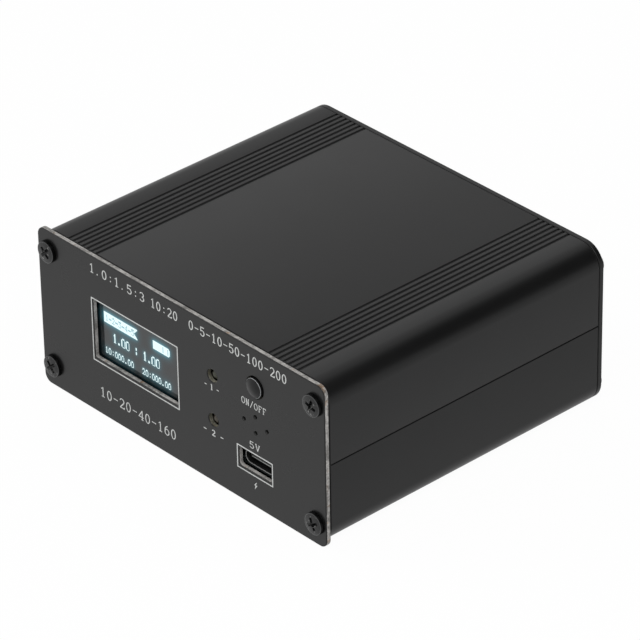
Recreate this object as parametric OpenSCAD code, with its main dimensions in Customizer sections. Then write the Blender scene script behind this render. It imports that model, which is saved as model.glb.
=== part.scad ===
// Compact SWR and power meter: a split aluminium case closed by two plates, with a
// display, a power button, two lamps, a buzzer and a charging socket at the front
// and two coax sockets at the rear. Millimetres, +Z up, the front faces -Y. The
// origin is the centre of the case's underside.

/* [Case] */
// Width of the case
case_w = 88; // [84:1:110]
// Height of the case
case_h = 38; // [37:0.5:46]
// Depth over both plates
case_d = 78; // [74:1:120]
// Height of the lower half, up to the seam
lower_h = 19.6; // [18:0.1:21]
// Outer corner radius of the case
corner_r = 5; // [4:0.5:6]
// Thickness of the side walls
side_wall = 1.6; // [1.4:0.1:2]
// Thickness of the roof and of the floor
roof_wall = 2; // [1.6:0.1:2.5]
// Height of the lip that locates the halves
lip_h = 1.2; // [0.8:0.1:2]
// Thickness of the lip
lip_t = 0.7; // [0.5:0.1:0.8]
// Depth of the bevel along the seam
seam_bevel = 0.18; // [0.1:0.02:0.3]
// Depth of the card guides from the side wall
guide_d = 2; // [1.5:0.1:2.5]
// Thickness of a card guide's rib
guide_t = 1.1; // [0.8:0.1:1.5]

/* [Grooves] */
// Grooves in each row
groove_count = 7; // [3:1:9]
// Distance from groove to groove
groove_pitch = 1.45; // [1.2:0.05:1.8]
// Width of a groove
groove_w = 0.65; // [0.4:0.05:0.8]
// Depth of a groove
groove_depth = 0.3; // [0.3:0.05:0.8]
// Outermost groove's centre from the side of the case
groove_inset = 8.8; // [8:0.1:11]

/* [Plates] */
// Thickness of the front and rear plates
plate_t = 1.2; // [1:0.1:2]
// Corner radius of the front plate
front_corner_r = 2; // [1:0.5:4]
// Corner radius of the rear plate
rear_corner_r = 5; // [3:0.5:6]

/* [Case screws] */
// Screw axis from the side of the case
screw_inset_x = 3.2; // [2.8:0.1:4]
// Screw axis from the top or bottom of the case
screw_inset_z = 5; // [4.6:0.1:6]
// Radius of the thread
screw_r = 1.15; // [1:0.05:1.4]
// Length under the head
screw_len = 8; // [6:0.5:12]
// Radius of the head
head_r = 2.5; // [2.2:0.1:3]
// Height of the head
head_h = 1.1; // [1:0.1:2]
// Height of the head's straight side
head_side = 0.7; // [0.4:0.1:1]
// Width of the cross recess
recess_w = 0.6; // [0.4:0.1:0.8]
// Length of the cross recess
recess_len = 2.8; // [2:0.1:3.4]
// Depth of the cross recess
recess_depth = 0.7; // [0.4:0.1:0.8]
// Wall round a screw port
port_wall = 1.3; // [1:0.1:1.6]

/* [Display] */
// Centre of the window from the case's middle
window_x = -13.65; // [-20:0.05:-10]
// Height of the window's centre
window_z = 20.5; // [19:0.1:22]
// Width of the window
window_w = 26.3; // [22:0.1:28]
// Height of the window
window_h = 14.1; // [12:0.1:16]
// Corner radius of the window
window_r = 0.5; // [0.3:0.1:1]
// Width of the display panel
panel_w = 27.9; // [27:0.1:30]
// Height of the display panel
panel_h = 19.3; // [18:0.1:20]
// Thickness of the display panel
panel_t = 1.5; // [1:0.1:2]
// Width of the display ribbon
ribbon_w = 12; // [8:0.5:16]
// Thickness of the display ribbon
ribbon_t = 0.2; // [0.1:0.05:0.4]

/* [Front controls] */
// Both lamps from the case's middle
lamp_x = 10.4; // [8:0.1:12]
// Height of the upper lamp
work_lamp_z = 25.8; // [24:0.1:28]
// Height of the lower lamp
charge_lamp_z = 15.2; // [14:0.1:18]
// Radius of the lamp holes
lamp_hole_r = 1.5; // [1.3:0.1:2]
// Radius of a lamp's rim
lamp_rim_r = 1.9; // [1.8:0.1:2.4]
// How far a lamp's tip lies behind the face of the plate
lamp_sunk = 0.5; // [0.3:0.1:1.2]
// Button from the case's middle
button_x = 23.4; // [20:0.1:25]
// Height of the button
button_z = 29; // [28:0.1:30]
// Radius of the button's hole
button_hole_r = 2.5; // [2.3:0.1:3]
// Radius of the button cap
button_r = 2.25; // [2:0.05:2.6]
// How far the cap stands out of the plate
button_proud = 0.45; // [0.35:0.05:1.5]
// Travel of the button
button_travel = 0.25; // [0.15:0.05:0.3]
// Sound holes and buzzer from the case's middle
sound_x = 23.3; // [21:0.1:25]
// Height of the middle of the sound holes
sound_z = 20; // [19:0.1:20.5]
// Half the width of the sound holes' diamond
sound_half_w = 3.45; // [2.5:0.05:3.6]
// Half the height of the sound holes' diamond
sound_half_h = 1.9; // [1.5:0.05:3]
// Radius of a sound hole
sound_hole_r = 0.45; // [0.3:0.05:0.7]
// Radius of the buzzer
buzzer_r = 4.5; // [4:0.1:4.8]

/* [Charging socket] */
// Charging socket from the case's middle
usb_x = 22.9; // [20:0.1:25]
// Height of the charging socket
usb_z = 10.3; // [10.2:0.05:10.8]
// Width of the slot in the plate
usb_slot_w = 9.8; // [9.4:0.1:11]
// Height of the slot in the plate
usb_slot_h = 4.4; // [3.8:0.1:5]
// Corner radius of the slot
usb_slot_r = 0.8; // [0.4:0.1:1.6]
// Width of the metal shell
usb_w = 8.94; // [8.9:0.01:9.2]
// Height of the metal shell
usb_h = 3.26; // [3.2:0.01:3.4]
// Length of the metal shell
usb_len = 7.35; // [6.5:0.05:9]
// Sheet thickness of the metal shell
usb_wall = 0.3; // [0.2:0.05:0.35]
// Width of the tongue
tongue_w = 6.69; // [6:0.01:7]
// Thickness of the tongue
tongue_t = 0.7; // [0.6:0.05:0.8]
// Tongue's tip behind the shell's mouth
tongue_back = 0.5; // [0.5:0.1:2]

/* [Boards] */
// Thickness of the boards
board_t = 1.6; // [1:0.1:1.6]
// Underside of the main board above the case's underside
board_z = 8; // [7.8:0.1:8.2]
// Gap between the plates' inner faces and the front board
front_space = 4.8; // [4.5:0.1:5.4]
// Gap between the front board and the screw ports beside it
front_board_side = 1; // [0.5:0.1:4]
// Gap between the front board's top edge and the roof
front_board_gap = 1.2; // [0.5:0.1:2]
// Pin strip between the boards, from the case's middle
link_x = 4; // [3:0.5:5]
// Pins in the strip between the boards
link_pins_n = 8; // [4:1:10]
// Distance from pin to pin
link_pitch = 2.54; // [2:0.01:2.54]
// Thickness of a square pin
pin_t = 0.64; // [0.5:0.02:0.7]
// Side of the processor
processor_w = 10; // [7:0.5:12]
// Side of the small chips
small_chip_w = 5; // [3:0.5:6]
// Thickness of the chips
chip_t = 1.4; // [1:0.1:2]
// Side of the inductor
inductor_w = 6; // [4:0.5:7]
// Height of the inductor
inductor_h = 3; // [2:0.5:5]
// Radius of the buffer capacitor
capacitor_r = 3; // [2:0.5:4]
// Height of the buffer capacitor
capacitor_h = 7; // [5:0.5:12]
// Length of a detector diode
diode_len = 3; // [2:0.1:4]
// Width of a detector diode
diode_w = 1.6; // [1:0.1:2]
// Gap between neighbouring parts on the main board
part_gap = 4; // [3:0.5:4.5]

/* [Battery] */
// Width of the battery cell
cell_w = 34; // [28:1:34]
// Length of the battery cell
cell_len = 40; // [30:1:41]
// Thickness of the battery cell
cell_t = 8; // [6:0.5:10]
// Thickness of the pad under the cell
pad_t = 0.5; // [0.3:0.1:1]
// Radius of a battery lead
lead_r = 0.6; // [0.4:0.05:0.8]
// Bend radius of a battery lead
lead_bend = 3; // [2:0.1:3.5]
// Width of the battery plug
plug_w = 5; // [4:0.5:6]
// Length of the battery plug
plug_len = 6; // [5:0.5:7]
// Height of the battery plug above the board
plug_h = 3; // [2.5:0.1:4]
// Wall of the battery socket
plug_wall = 0.7; // [0.5:0.1:1]

/* [Coax sockets] */
// Distance between the two sockets' axes
socket_span = 34; // [30:0.5:40]
// Radius over the thread, 5/8 inch across
thread_r = 7.94; // [7.9:0.01:8]
// How far a socket stands out of the rear plate
socket_len = 10.6; // [9:0.1:12]
// Plain neck between the rear plate and the thread
neck_len = 0.4; // [0.3:0.1:1]
// Depth of the neck below the thread's crests
neck_depth = 0.6; // [0.3:0.1:0.8]
// Radius of the room inside the thread
socket_bore_r = 6.3; // [5.8:0.1:6.6]
// Depth of the room inside the thread
socket_depth = 6; // [4:0.1:7]
// Side of the square flange
flange_w = 25.4; // [25:0.1:28]
// Thickness of the flange
flange_t = 2; // [1.5:0.1:3]
// Distance between the flange's screws
flange_pitch = 18.3; // [18:0.1:19]
// Bore radius of the centre contact
contact_bore_r = 2; // [1.9:0.05:2.1]
// Wall of the centre contact
contact_wall = 0.7; // [0.4:0.1:0.9]
// Depth of the contact's bore
contact_depth = 9; // [6:0.5:10]
// Contact's mouth behind the thread's rim
contact_back = 1; // [0.5:0.1:2]
// Radius of the flange screws
bolt_r = 1.45; // [1.2:0.05:1.5]
// Length of the flange screws
bolt_len = 6; // [5.8:0.1:6.2]
// Height of a nut
nut_h = 2.4; // [1.8:0.1:2.4]
// Width of a nut across its flats
nut_w = 5.5; // [5:0.1:5.5]

/* [Coupler] */
// Outer radius of a ring core
core_r = 6.35; // [5:0.05:6.8]
// Inner radius of a ring core
core_hole_r = 3.85; // [3:0.05:4]
// Thickness of a ring core
core_t = 4.8; // [3:0.1:6]
// Distance between the cores' middles
core_span = 18; // [14:0.5:20]
// Turns on each core
turns = 8; // [4:1:9]
// Thickness of the winding wire
wire_t = 0.5; // [0.3:0.05:0.7]
// Radius of the through line
line_r = 1; // [0.6:0.1:1.3]
// How far the saddle reaches up round the cores
cradle_grip = 2; // [1:0.1:3]
// Width of the saddle
cradle_w = 10; // [8:0.5:12]
// Thickness of the saddle's base
cradle_base = 1; // [0.8:0.1:1.5]
// Thickness of the saddle's cheeks
cradle_cheek = 2.4; // [1.5:0.1:3]

/* [Hidden] */
$fn = 64;
clearance = 0.1;
slide_gap = 0.05;
hole_gap = 0.45;
cut = 1;

front_y = -case_d / 2;
rear_y = case_d / 2;
body_y0 = front_y + plate_t;
body_y1 = rear_y - plate_t;
body_len = body_y1 - body_y0;
port_r = screw_r + slide_gap;
plate_hole_r = screw_r + hole_gap;
screw_x = case_w / 2 - screw_inset_x;
screw_z = [screw_inset_z, case_h - screw_inset_z];
inner_x = case_w / 2 - side_wall;

board_top = board_z + board_t;
main_board_w = 2 * (inner_x - 2 * clearance);
main_board_y0 = body_y0 + 0.4;
face_y = body_y0 + front_space;
front_board_y1 = face_y + board_t;
front_board_w = 2 * (screw_x - port_r - port_wall - front_board_side);
panel_y = body_y0 + 2 * clearance;
ribbon_drop = 1;

usb_y = body_y0 + clearance;
usb_room = 2 * clearance;

cover_t = 0.3;
switch_w = 6;
switch_h = 3.5;
plunger_r = 1.7;
plunger_foot_r = 2.2;
plunger_foot_t = 0.6;
switch_front = face_y - switch_h;
switch_well_r = plunger_foot_r + 3 * clearance;
foot_y = switch_front + cover_t + slide_gap;
button_rim_r = button_hole_r + 0.5;
button_rim_t = 0.6;
button_well = 1.45;
dome_r = plunger_foot_r;
dome_t = 0.15;
dome_h = 0.5;
dome_ball_r = (dome_r * dome_r + dome_h * dome_h) / (2 * dome_h);
switch_floor_y = foot_y + plunger_foot_t + button_travel + slide_gap + dome_h;

cell_x0 = -inner_x + guide_d + 3;
cell_y0 = front_board_y1 + part_gap;
cell_z0 = board_top + pad_t;
lead_run = 2;
plug_x = cell_x0 + cell_w + lead_run + lead_bend;
plug_y = cell_y0 + plug_len + lead_run;

socket_z = case_h / 2;
socket_tip = rear_y + socket_len;
neck_r = thread_r - neck_depth;
flange_y0 = body_y1 - flange_t;
contact_r = contact_bore_r + contact_wall;
contact_tip = socket_tip - contact_back;
insulator_y0 = flange_y0 - 2;
insulator_y1 = socket_tip - socket_depth;
cup_r = line_r + 0.6;
cup_len = 4;
cup_depth = 2;
cup_y0 = insulator_y0 - cup_len;
line_y = cup_y0 - core_r + line_r;
main_board_y1 = rear_y - bolt_len - 0.5;
cradle_len = core_span + 2 * core_t + 2;
cradle_h = socket_z - core_r + cradle_grip - board_top;

inductor_x = plug_x + (plug_w + inductor_w) / 2 + part_gap;
regulator_x = inner_x - guide_d - part_gap - small_chip_w / 2;
chip_row_y = usb_y + usb_len + part_gap + inductor_w / 2;
processor_y = chip_row_y + (inductor_w + processor_w) / 2 + part_gap;
capacitor_y = processor_y + processor_w / 2 + part_gap + capacitor_r;
diode_y = line_y - (cradle_w + diode_w) / 2 - part_gap;

// ---- shared shapes ----

// A round bar along Y, from y0 to y1
module rod_y(x, z, y0, y1, r)
    translate([x, y0, z]) rotate([-90, 0, 0]) cylinder(r=r, h=y1 - y0);

// A round bar along X, from x0 to x1
module rod_x(y, z, x0, x1, r)
    translate([x0, y, z]) rotate([0, 90, 0]) cylinder(r=r, h=x1 - x0);

// A box between y0 and y1, centred on x and z
module block(x, z, w, h, y0, y1)
    translate([x - w / 2, y0, z - h / 2]) cube([w, y1 - y0, h]);

// The same box with its four long edges rounded
module round_block(x, z, w, h, r, y0, y1) {
    block(x, z, w, h - 2 * r, y0, y1);
    block(x, z, w - 2 * r, h, y0, y1);
    for (sx = [-1, 1], sz = [-1, 1])
        rod_y(x + sx * (w / 2 - r), z + sz * (h / 2 - r), y0, y1, r);
}

// A flat part standing on the main board's top
module on_board(x, y, w, len, h)
    translate([x - w / 2, y - len / 2, board_top]) cube([w, len, h]);

// The four corner screw axes
module at_corners()
    for (sx = [-1, 1], z = screw_z)
        translate([sx * screw_x, 0, z]) children();

// The four screw axes of one flange
module at_flange_corners()
    for (sx = [-1, 1], sz = [-1, 1])
        translate([sx * flange_pitch / 2, 0, sz * flange_pitch / 2]) children();

// ---- case ----

// Both halves' tube in one: walls, screw ports and card guides, cut by the grooves
module case_tube() {
    difference() {
        union() {
            difference() {
                round_block(0, case_h / 2, case_w, case_h, corner_r, body_y0, body_y1);
                round_block(0, case_h / 2, 2 * inner_x, case_h - 2 * roof_wall,
                    corner_r - side_wall, body_y0 - cut, body_y1 + cut);
            }
            intersection() {
                round_block(0, case_h / 2, case_w, case_h, corner_r, body_y0, body_y1);
                union() {
                    at_corners() rod_y(0, 0, body_y0, body_y1, port_r + port_wall);
                    for (sx = [-1, 1], flip = [0, 1]) card_guide(sx, flip);
                }
            }
        }
        at_corners() rod_y(0, 0, body_y0 - cut, body_y1 + cut, port_r);
        for (sx = [-1, 1], flip = [0, 1], i = [0 : groove_count - 1])
            groove(sx * (case_w / 2 - groove_inset - i * groove_pitch), flip);
    }
}

// Two ribs with the board's slot between them, low on the wall or mirrored high
module card_guide(side, high) {
    slot = board_t + clearance;
    low_z = board_z - slide_gap;
    x = side * (case_w / 2 - (side_wall + guide_d) / 2);
    for (z = [low_z - guide_t / 2, low_z + slot + guide_t / 2])
        block(x, high == 1 ? case_h - z : z, side_wall + guide_d, guide_t, body_y0, body_y1);
}

module groove(x, high)
    block(x, high == 1 ? case_h : 0, groove_w, 2 * groove_depth, body_y0 - cut, body_y1 + cut);

// The space below the seam, with the lips as part of it
module below_seam(gap) {
    block(0, lower_h / 2 - cut, 2 * case_w, lower_h + 2 * cut, body_y0 - 2 * cut, body_y1 + 2 * cut);
    for (sx = [-1, 1])
        block(sx * (inner_x + lip_t / 2 - cut / 2), lower_h + lip_h / 2,
            lip_t + cut + 2 * gap, lip_h + 2 * gap, body_y0 - 2 * cut, body_y1 + 2 * cut);
}

// The bevel that shows as the seam's dark line
module seam_line()
    for (sx = [-1, 1])
        translate([sx * case_w / 2, 0, lower_h]) rotate([0, 45, 0])
            block(0, 0, sqrt(2) * seam_bevel, sqrt(2) * seam_bevel, body_y0 - cut, body_y1 + cut);

module upper_shell()
    color("#3d3d40") difference() {
        case_tube();
        below_seam(clearance / 2);
        seam_line();
    }

module lower_shell()
    color("#38383b") difference() {
        intersection() {
            case_tube();
            below_seam(0);
        }
        seam_line();
    }

module front_plate()
    color("#404043") difference() {
        round_block(0, case_h / 2, case_w, case_h, front_corner_r, front_y, body_y0);
        at_corners() rod_y(0, 0, front_y - cut, body_y0 + cut, plate_hole_r);
        round_block(window_x, window_z, window_w, window_h, window_r, front_y - cut, body_y0 + cut);
        for (z = [work_lamp_z, charge_lamp_z])
            rod_y(lamp_x, z, front_y - cut, body_y0 + cut, lamp_hole_r);
        rod_y(button_x, button_z, front_y - cut, body_y0 + cut, button_hole_r);
        for (p = [[-1, 0], [1, 0], [0, -1], [0, 1]])
            rod_y(sound_x + p[0] * sound_half_w, sound_z + p[1] * sound_half_h,
                front_y - cut, body_y0 + cut, sound_hole_r);
        round_block(usb_x, usb_z, usb_slot_w, usb_slot_h, usb_slot_r, front_y - cut, body_y0 + cut);
    }

module rear_plate()
    color("#404043") difference() {
        round_block(0, case_h / 2, case_w, case_h, rear_corner_r, body_y1, rear_y);
        at_corners() rod_y(0, 0, body_y1 - cut, rear_y + cut, plate_hole_r);
        for (sx = [-1, 1]) translate([sx * socket_span / 2, 0, socket_z]) {
            rod_y(0, 0, body_y1 - cut, rear_y + cut, thread_r + 2 * clearance);
            at_flange_corners() rod_y(0, 0, body_y1 - cut, rear_y + cut, bolt_r + clearance);
        }
    }

// ---- screws ----

// A pan-head screw: its head stands on z = 0, its shank runs down
module pan_screw(shank_r, len, radius, h, side) {
    ball_r = (radius * radius + (h - side) * (h - side)) / (2 * (h - side));
    difference() {
        union() {
            intersection() {
                cylinder(r=radius, h=h);
                translate([0, 0, h - ball_r]) sphere(r=ball_r);
            }
            translate([0, 0, -len]) cylinder(r=shank_r, h=len);
        }
        for (a = [0, 90]) rotate([0, 0, a])
            translate([-recess_len / 2, -recess_w / 2, h - recess_depth])
                cube([recess_len, recess_w, recess_depth + cut]);
    }
}

module front_screws()
    color("#1c1c1e") at_corners() translate([0, front_y, 0]) rotate([90, 0, 0])
        pan_screw(screw_r, screw_len, head_r, head_h, head_side);

module rear_screws()
    color("#1c1c1e") at_corners() translate([0, rear_y, 0]) rotate([-90, 0, 0])
        pan_screw(screw_r, screw_len, head_r, head_h, head_side);

// ---- power button and its switch ----

module power_button()
    color("#161618") difference() {
        union() {
            rod_y(button_x, button_z, front_y - button_proud, body_y0 + cut / 2, button_r);
            rod_y(button_x, button_z, body_y0 + slide_gap,
                body_y0 + slide_gap + button_rim_t, button_rim_r);
        }
        rod_y(button_x, button_z, front_y - button_proud + button_well,
            body_y0 + slide_gap + button_rim_t + cut, plunger_r);
    }

module switch_plunger()
    color("#2a2a2a") {
        rod_y(button_x, button_z, front_y - button_proud + button_well,
            foot_y + plunger_foot_t, plunger_r);
        rod_y(button_x, button_z, foot_y, foot_y + plunger_foot_t, plunger_foot_r);
    }

module switch_housing()
    color("#1d1d1f") difference() {
        block(button_x, button_z, switch_w, switch_w, switch_front + cover_t, face_y);
        rod_y(button_x, button_z, switch_front, switch_floor_y, switch_well_r);
    }

module switch_cover()
    color("silver") difference() {
        block(button_x, button_z, switch_w, switch_w, switch_front, switch_front + cover_t);
        rod_y(button_x, button_z, switch_front - cut, switch_front + cover_t + cut,
            plunger_r + slide_gap);
    }

// A shallow metal dome on the well's floor, bulging towards the plunger
module switch_dome()
    color("gainsboro") translate([button_x, switch_floor_y, button_z]) rotate([90, 0, 0])
        intersection() {
            cylinder(r=dome_r, h=dome_h + cut);
            translate([0, 0, dome_h - dome_ball_r]) difference() {
                sphere(r=dome_ball_r, $fn=240);
                sphere(r=dome_ball_r - dome_t, $fn=240);
            }
        }

// ---- display ----

module display_panel()
    color("#17202a") block(window_x, window_z, panel_w, panel_h, panel_y, panel_y + panel_t);

module display_cushion()
    color("#202020") block(window_x, window_z, panel_w - 3, panel_h - 3,
        panel_y + panel_t, face_y);

// The ribbon leaves the panel's back at its lower edge and lies on the front board
module display_ribbon() {
    low = window_z - panel_h / 2;
    back = panel_y + panel_t;
    tab = 1.2;
    color("#a8722c") {
        block(window_x, low + tab / 2, ribbon_w, tab, back, back + ribbon_t);
        block(window_x, low + ribbon_t / 2, ribbon_w, ribbon_t, back, face_y);
        block(window_x, low + tab / 2, ribbon_w, tab, face_y - ribbon_t, face_y);
    }
}

// ---- lamps and buzzer on the front board ----

module lamp(z) {
    tip = front_y + lamp_sunk;
    r = lamp_hole_r - 2 * clearance;
    rod_y(lamp_x, z, tip + r, face_y, r);
    rod_y(lamp_x, z, face_y - 1, face_y, lamp_rim_r);
    intersection() {
        translate([lamp_x, tip + r, z]) sphere(r=r);
        block(lamp_x, z, 2 * r + cut, 2 * r + cut, tip - cut, tip + r);
    }
}

module work_lamp() color("honeydew") lamp(work_lamp_z);

module charge_lamp() color("mistyrose") lamp(charge_lamp_z);

module buzzer()
    color("#1a1a1a") difference() {
        rod_y(sound_x, sound_z, body_y0 + 3 * clearance, face_y, buzzer_r);
        rod_y(sound_x, sound_z, body_y0, body_y0 + 2, 1);
    }

// ---- charging socket ----

// The socket's rounded outline, drawn in by t on every side
module usb_form(t, y0, y1)
    round_block(usb_x, usb_z, usb_w - 2 * t, usb_h - 2 * t, usb_h / 2 - t - 0.05, y0, y1);

module usb_shell()
    color("silver") difference() {
        usb_form(0, usb_y, usb_y + usb_len);
        usb_form(usb_wall, usb_y - cut, usb_y + usb_len - usb_wall);
    }

module usb_tongue()
    color("#141414") {
        block(usb_x, usb_z, tongue_w, tongue_t, usb_y + tongue_back, usb_y + usb_len - usb_wall);
        usb_form(usb_wall, usb_y + usb_len - usb_wall - 2, usb_y + usb_len - usb_wall);
    }

// ---- boards ----

module main_board()
    color("#1f5c3a") difference() {
        block(0, board_z + board_t / 2, main_board_w, board_t, main_board_y0, main_board_y1);
        block(usb_x, usb_z, usb_w + 2 * usb_room, usb_h + 2 * usb_room,
            body_y0, usb_y + usb_len + usb_room);
        for (i = [0 : link_pins_n - 1])
            translate([link_pin_x(i), link_pin_y(), board_z - cut])
                cylinder(r=pin_t, h=board_t + 2 * cut);
    }

module front_board() {
    top = case_h - roof_wall - front_board_gap;
    color("#1f5c3a") difference() {
        block(0, (board_top + top) / 2, front_board_w, top - board_top, face_y, front_board_y1);
        block(usb_x, usb_z, usb_w + 6 * usb_room, usb_h + 6 * usb_room,
            face_y - cut, front_board_y1 + cut);
        for (i = [0 : link_pins_n - 1])
            rod_y(link_pin_x(i), link_z(), face_y - cut, front_board_y1 + cut, pin_t);
    }
}

function link_pin_x(i) = link_x + (i - (link_pins_n - 1) / 2) * link_pitch;
function link_pin_y() = front_board_y1 + link_pitch / 2;
function link_z() = board_top + link_pitch / 2;

// The plastic strip behind the front board that holds the right-angle pins
module link_strip()
    color("#161616") difference() {
        block(link_x, link_z(), link_pins_n * link_pitch, link_pitch,
            front_board_y1, front_board_y1 + link_pitch);
        link_pin_set();
    }

module link_pin_set()
    for (i = [0 : link_pins_n - 1]) {
        block(link_pin_x(i), link_z(), pin_t, pin_t, face_y - 0.8, link_pin_y() + pin_t / 2);
        translate([link_pin_x(i) - pin_t / 2, link_pin_y() - pin_t / 2, board_z - 0.8])
            cube([pin_t, pin_t, link_z() - board_z + 0.8]);
    }

module link_pins() color("goldenrod") link_pin_set();

// ---- parts on the main board ----

module processor()
    color("#202024") on_board(usb_x, processor_y, processor_w, processor_w, chip_t);

module charger_chip()
    color("#202024") on_board(usb_x, chip_row_y, small_chip_w, small_chip_w, chip_t);

module regulator()
    color("#202024") on_board(regulator_x, chip_row_y, small_chip_w, small_chip_w, chip_t);

module power_inductor()
    color("#4a4a4a") on_board(inductor_x, chip_row_y, inductor_w, inductor_w, inductor_h);

module buffer_capacitor()
    color("#26324a") translate([usb_x, capacitor_y, board_top])
        cylinder(r=capacitor_r, h=capacitor_h);

// One diode by each core
module detector_diodes()
    color("#181818") for (sx = [-1, 1])
        on_board(sx * core_span / 2, diode_y, diode_len, diode_w, chip_t);

// ---- battery ----

module battery_pad()
    color("#707070") translate([cell_x0 + 1, cell_y0 + 1, board_top])
        cube([cell_w - 2, cell_len - 2, pad_t]);

// A pouch cell with rounded long edges
module battery_cell()
    color("silver") round_block(cell_x0 + cell_w / 2, cell_z0 + cell_t / 2, cell_w, cell_t,
        1.5, cell_y0, cell_y0 + cell_len);

// Each lead leaves the cell's side, bends down a quarter turn and enters the plug
module battery_leads()
    for (s = [-1, 1]) color(s < 0 ? "firebrick" : "#151515") {
        y = plug_y + s * 1.25;
        z = board_top + plug_h + lead_bend;
        rod_x(y, z, cell_x0 + cell_w, plug_x - lead_bend, lead_r);
        translate([plug_x - lead_bend, y, z - lead_bend]) rotate([90, 0, 0])
            rotate_extrude(angle=90) translate([lead_bend, 0]) circle(r=lead_r);
    }

// The room in the socket, drawn in by gap on every side
module plug_form(gap, h)
    translate([plug_x, plug_y, board_top + plug_wall + h / 2])
        cube([plug_w - 2 * (plug_wall + gap), plug_len - 2 * (plug_wall + gap), h], center=true);

module battery_plug() color("ivory") plug_form(clearance, plug_h - plug_wall);

module battery_socket()
    color("ivory") difference() {
        on_board(plug_x, plug_y, plug_w, plug_len, plug_h - plug_wall);
        plug_form(0, plug_h);
    }

// ---- coupler ----

module core(side)
    difference() {
        rod_x(line_y, socket_z, side * core_span / 2 - core_t / 2,
            side * core_span / 2 + core_t / 2, core_r);
        rod_x(line_y, socket_z, side * core_span / 2 - core_t, side * core_span / 2 + core_t,
            core_hole_r);
    }

// Square turns round the ring, spread evenly
module winding(side)
    for (i = [0 : turns - 1])
        translate([side * core_span / 2, line_y, socket_z]) rotate([(i + 0.5) * 360 / turns, 0, 0])
            difference() {
                translate([-core_t / 2 - wire_t, -wire_t / 2, core_hole_r - wire_t])
                    cube([core_t + 2 * wire_t, wire_t, core_r - core_hole_r + 2 * wire_t]);
                rotate([-(i + 0.5) * 360 / turns, 0, 0])
                    translate([-side * core_span / 2, -line_y, -socket_z]) core(side);
            }

module forward_core() color("#8a2f26") core(-1);
module reflected_core() color("#8a2f26") core(1);
module forward_winding() color("chocolate") winding(-1);
module reflected_winding() color("chocolate") winding(1);

// A plastic base on the main board with two cheeks, hollowed as a saddle for both cores
module core_cradle()
    color("#d8d2c0") difference() {
        union() {
            on_board(0, line_y, cradle_len, cradle_w, cradle_base);
            for (s = [-1, 1])
                on_board(0, line_y + s * (cradle_w - cradle_cheek) / 2, cradle_len,
                    cradle_cheek, cradle_h);
        }
        rod_x(line_y, socket_z, -cradle_len, cradle_len, core_r + wire_t + 2 * clearance);
    }

// The line from one socket's contact through both cores to the other's
module through_line() {
    x = socket_span / 2;
    color("peru") {
        rod_x(line_y, socket_z, -x, x, line_r);
        for (s = [-1, 1]) {
            rod_y(s * x, socket_z, line_y, cup_y0 + cup_depth, line_r);
            translate([s * x, line_y, socket_z]) sphere(r=line_r);
        }
    }
}

// ---- rear coax sockets ----

// The barrel: a neck through the flange and the rear plate, then the thread
module socket(side)
    translate([side * socket_span / 2, 0, socket_z]) difference() {
        union() {
            rod_y(0, 0, flange_y0, rear_y + neck_len, neck_r);
            rod_y(0, 0, rear_y + neck_len, socket_tip, thread_r);
        }
        rod_y(0, 0, flange_y0 - cut, socket_tip + cut, socket_bore_r);
    }

// The square flange that clamps behind the rear plate
module flange(side)
    translate([side * socket_span / 2, 0, socket_z]) difference() {
        block(0, 0, flange_w, flange_w, flange_y0, body_y1);
        rod_y(0, 0, flange_y0 - cut, body_y1 + cut, neck_r);
        at_flange_corners() rod_y(0, 0, flange_y0 - cut, body_y1 + cut, bolt_r + clearance);
    }

module insulator(side)
    translate([side * socket_span / 2, 0, socket_z]) difference() {
        rod_y(0, 0, insulator_y0, insulator_y1, socket_bore_r);
        rod_y(0, 0, insulator_y0 - cut, insulator_y1 + cut, contact_r);
    }

module contact(side)
    translate([side * socket_span / 2, 0, socket_z]) difference() {
        union() {
            rod_y(0, 0, insulator_y0, contact_tip, contact_r);
            rod_y(0, 0, cup_y0, insulator_y0, cup_r);
        }
        rod_y(0, 0, contact_tip - contact_depth, contact_tip + cut, contact_bore_r);
        rod_y(0, 0, cup_y0 - cut, cup_y0 + cup_depth, line_r);
    }

module input_socket() color("gainsboro") socket(-1);
module output_socket() color("gainsboro") socket(1);
module input_flange() color("gainsboro") flange(-1);
module output_flange() color("gainsboro") flange(1);
module input_insulator() color("#e8dfc8") insulator(-1);
module output_insulator() color("#e8dfc8") insulator(1);
module input_contact() color("goldenrod") contact(-1);
module output_contact() color("goldenrod") contact(1);

module at_sockets()
    for (sx = [-1, 1]) translate([sx * socket_span / 2, 0, socket_z])
        at_flange_corners() children();

module socket_screws()
    color("silver") at_sockets() translate([0, rear_y, 0]) rotate([-90, 0, 0])
        pan_screw(bolt_r, bolt_len, head_r, head_h, head_side);

module socket_nuts()
    color("silver") at_sockets() translate([0, flange_y0 - nut_h, 0]) rotate([-90, 0, 0])
        difference() {
            cylinder(r=nut_w / sqrt(3), h=nut_h, $fn=6);
            translate([0, 0, -cut]) cylinder(r=bolt_r, h=nut_h + 2 * cut);
        }

upper_shell();
lower_shell();
front_plate();
rear_plate();
front_screws();
rear_screws();
power_button();
switch_plunger();
switch_housing();
switch_cover();
switch_dome();
display_panel();
display_cushion();
display_ribbon();
front_board();
work_lamp();
charge_lamp();
buzzer();
usb_shell();
usb_tongue();
main_board();
link_strip();
link_pins();
processor();
charger_chip();
regulator();
power_inductor();
buffer_capacitor();
detector_diodes();
battery_cell();
battery_pad();
battery_leads();
battery_plug();
battery_socket();
forward_core();
forward_winding();
reflected_core();
reflected_winding();
core_cradle();
through_line();
input_socket();
input_flange();
input_insulator();
input_contact();
output_socket();
output_flange();
output_insulator();
output_contact();
socket_screws();
socket_nuts();
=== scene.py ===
"""Looks for a compact SWR and power meter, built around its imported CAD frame.

Sizes are in millimetres in this file and become metres when a mesh is made.
"""

import math

import bmesh
import bpy
import numpy as np
from mathutils import Matrix, Vector

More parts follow.
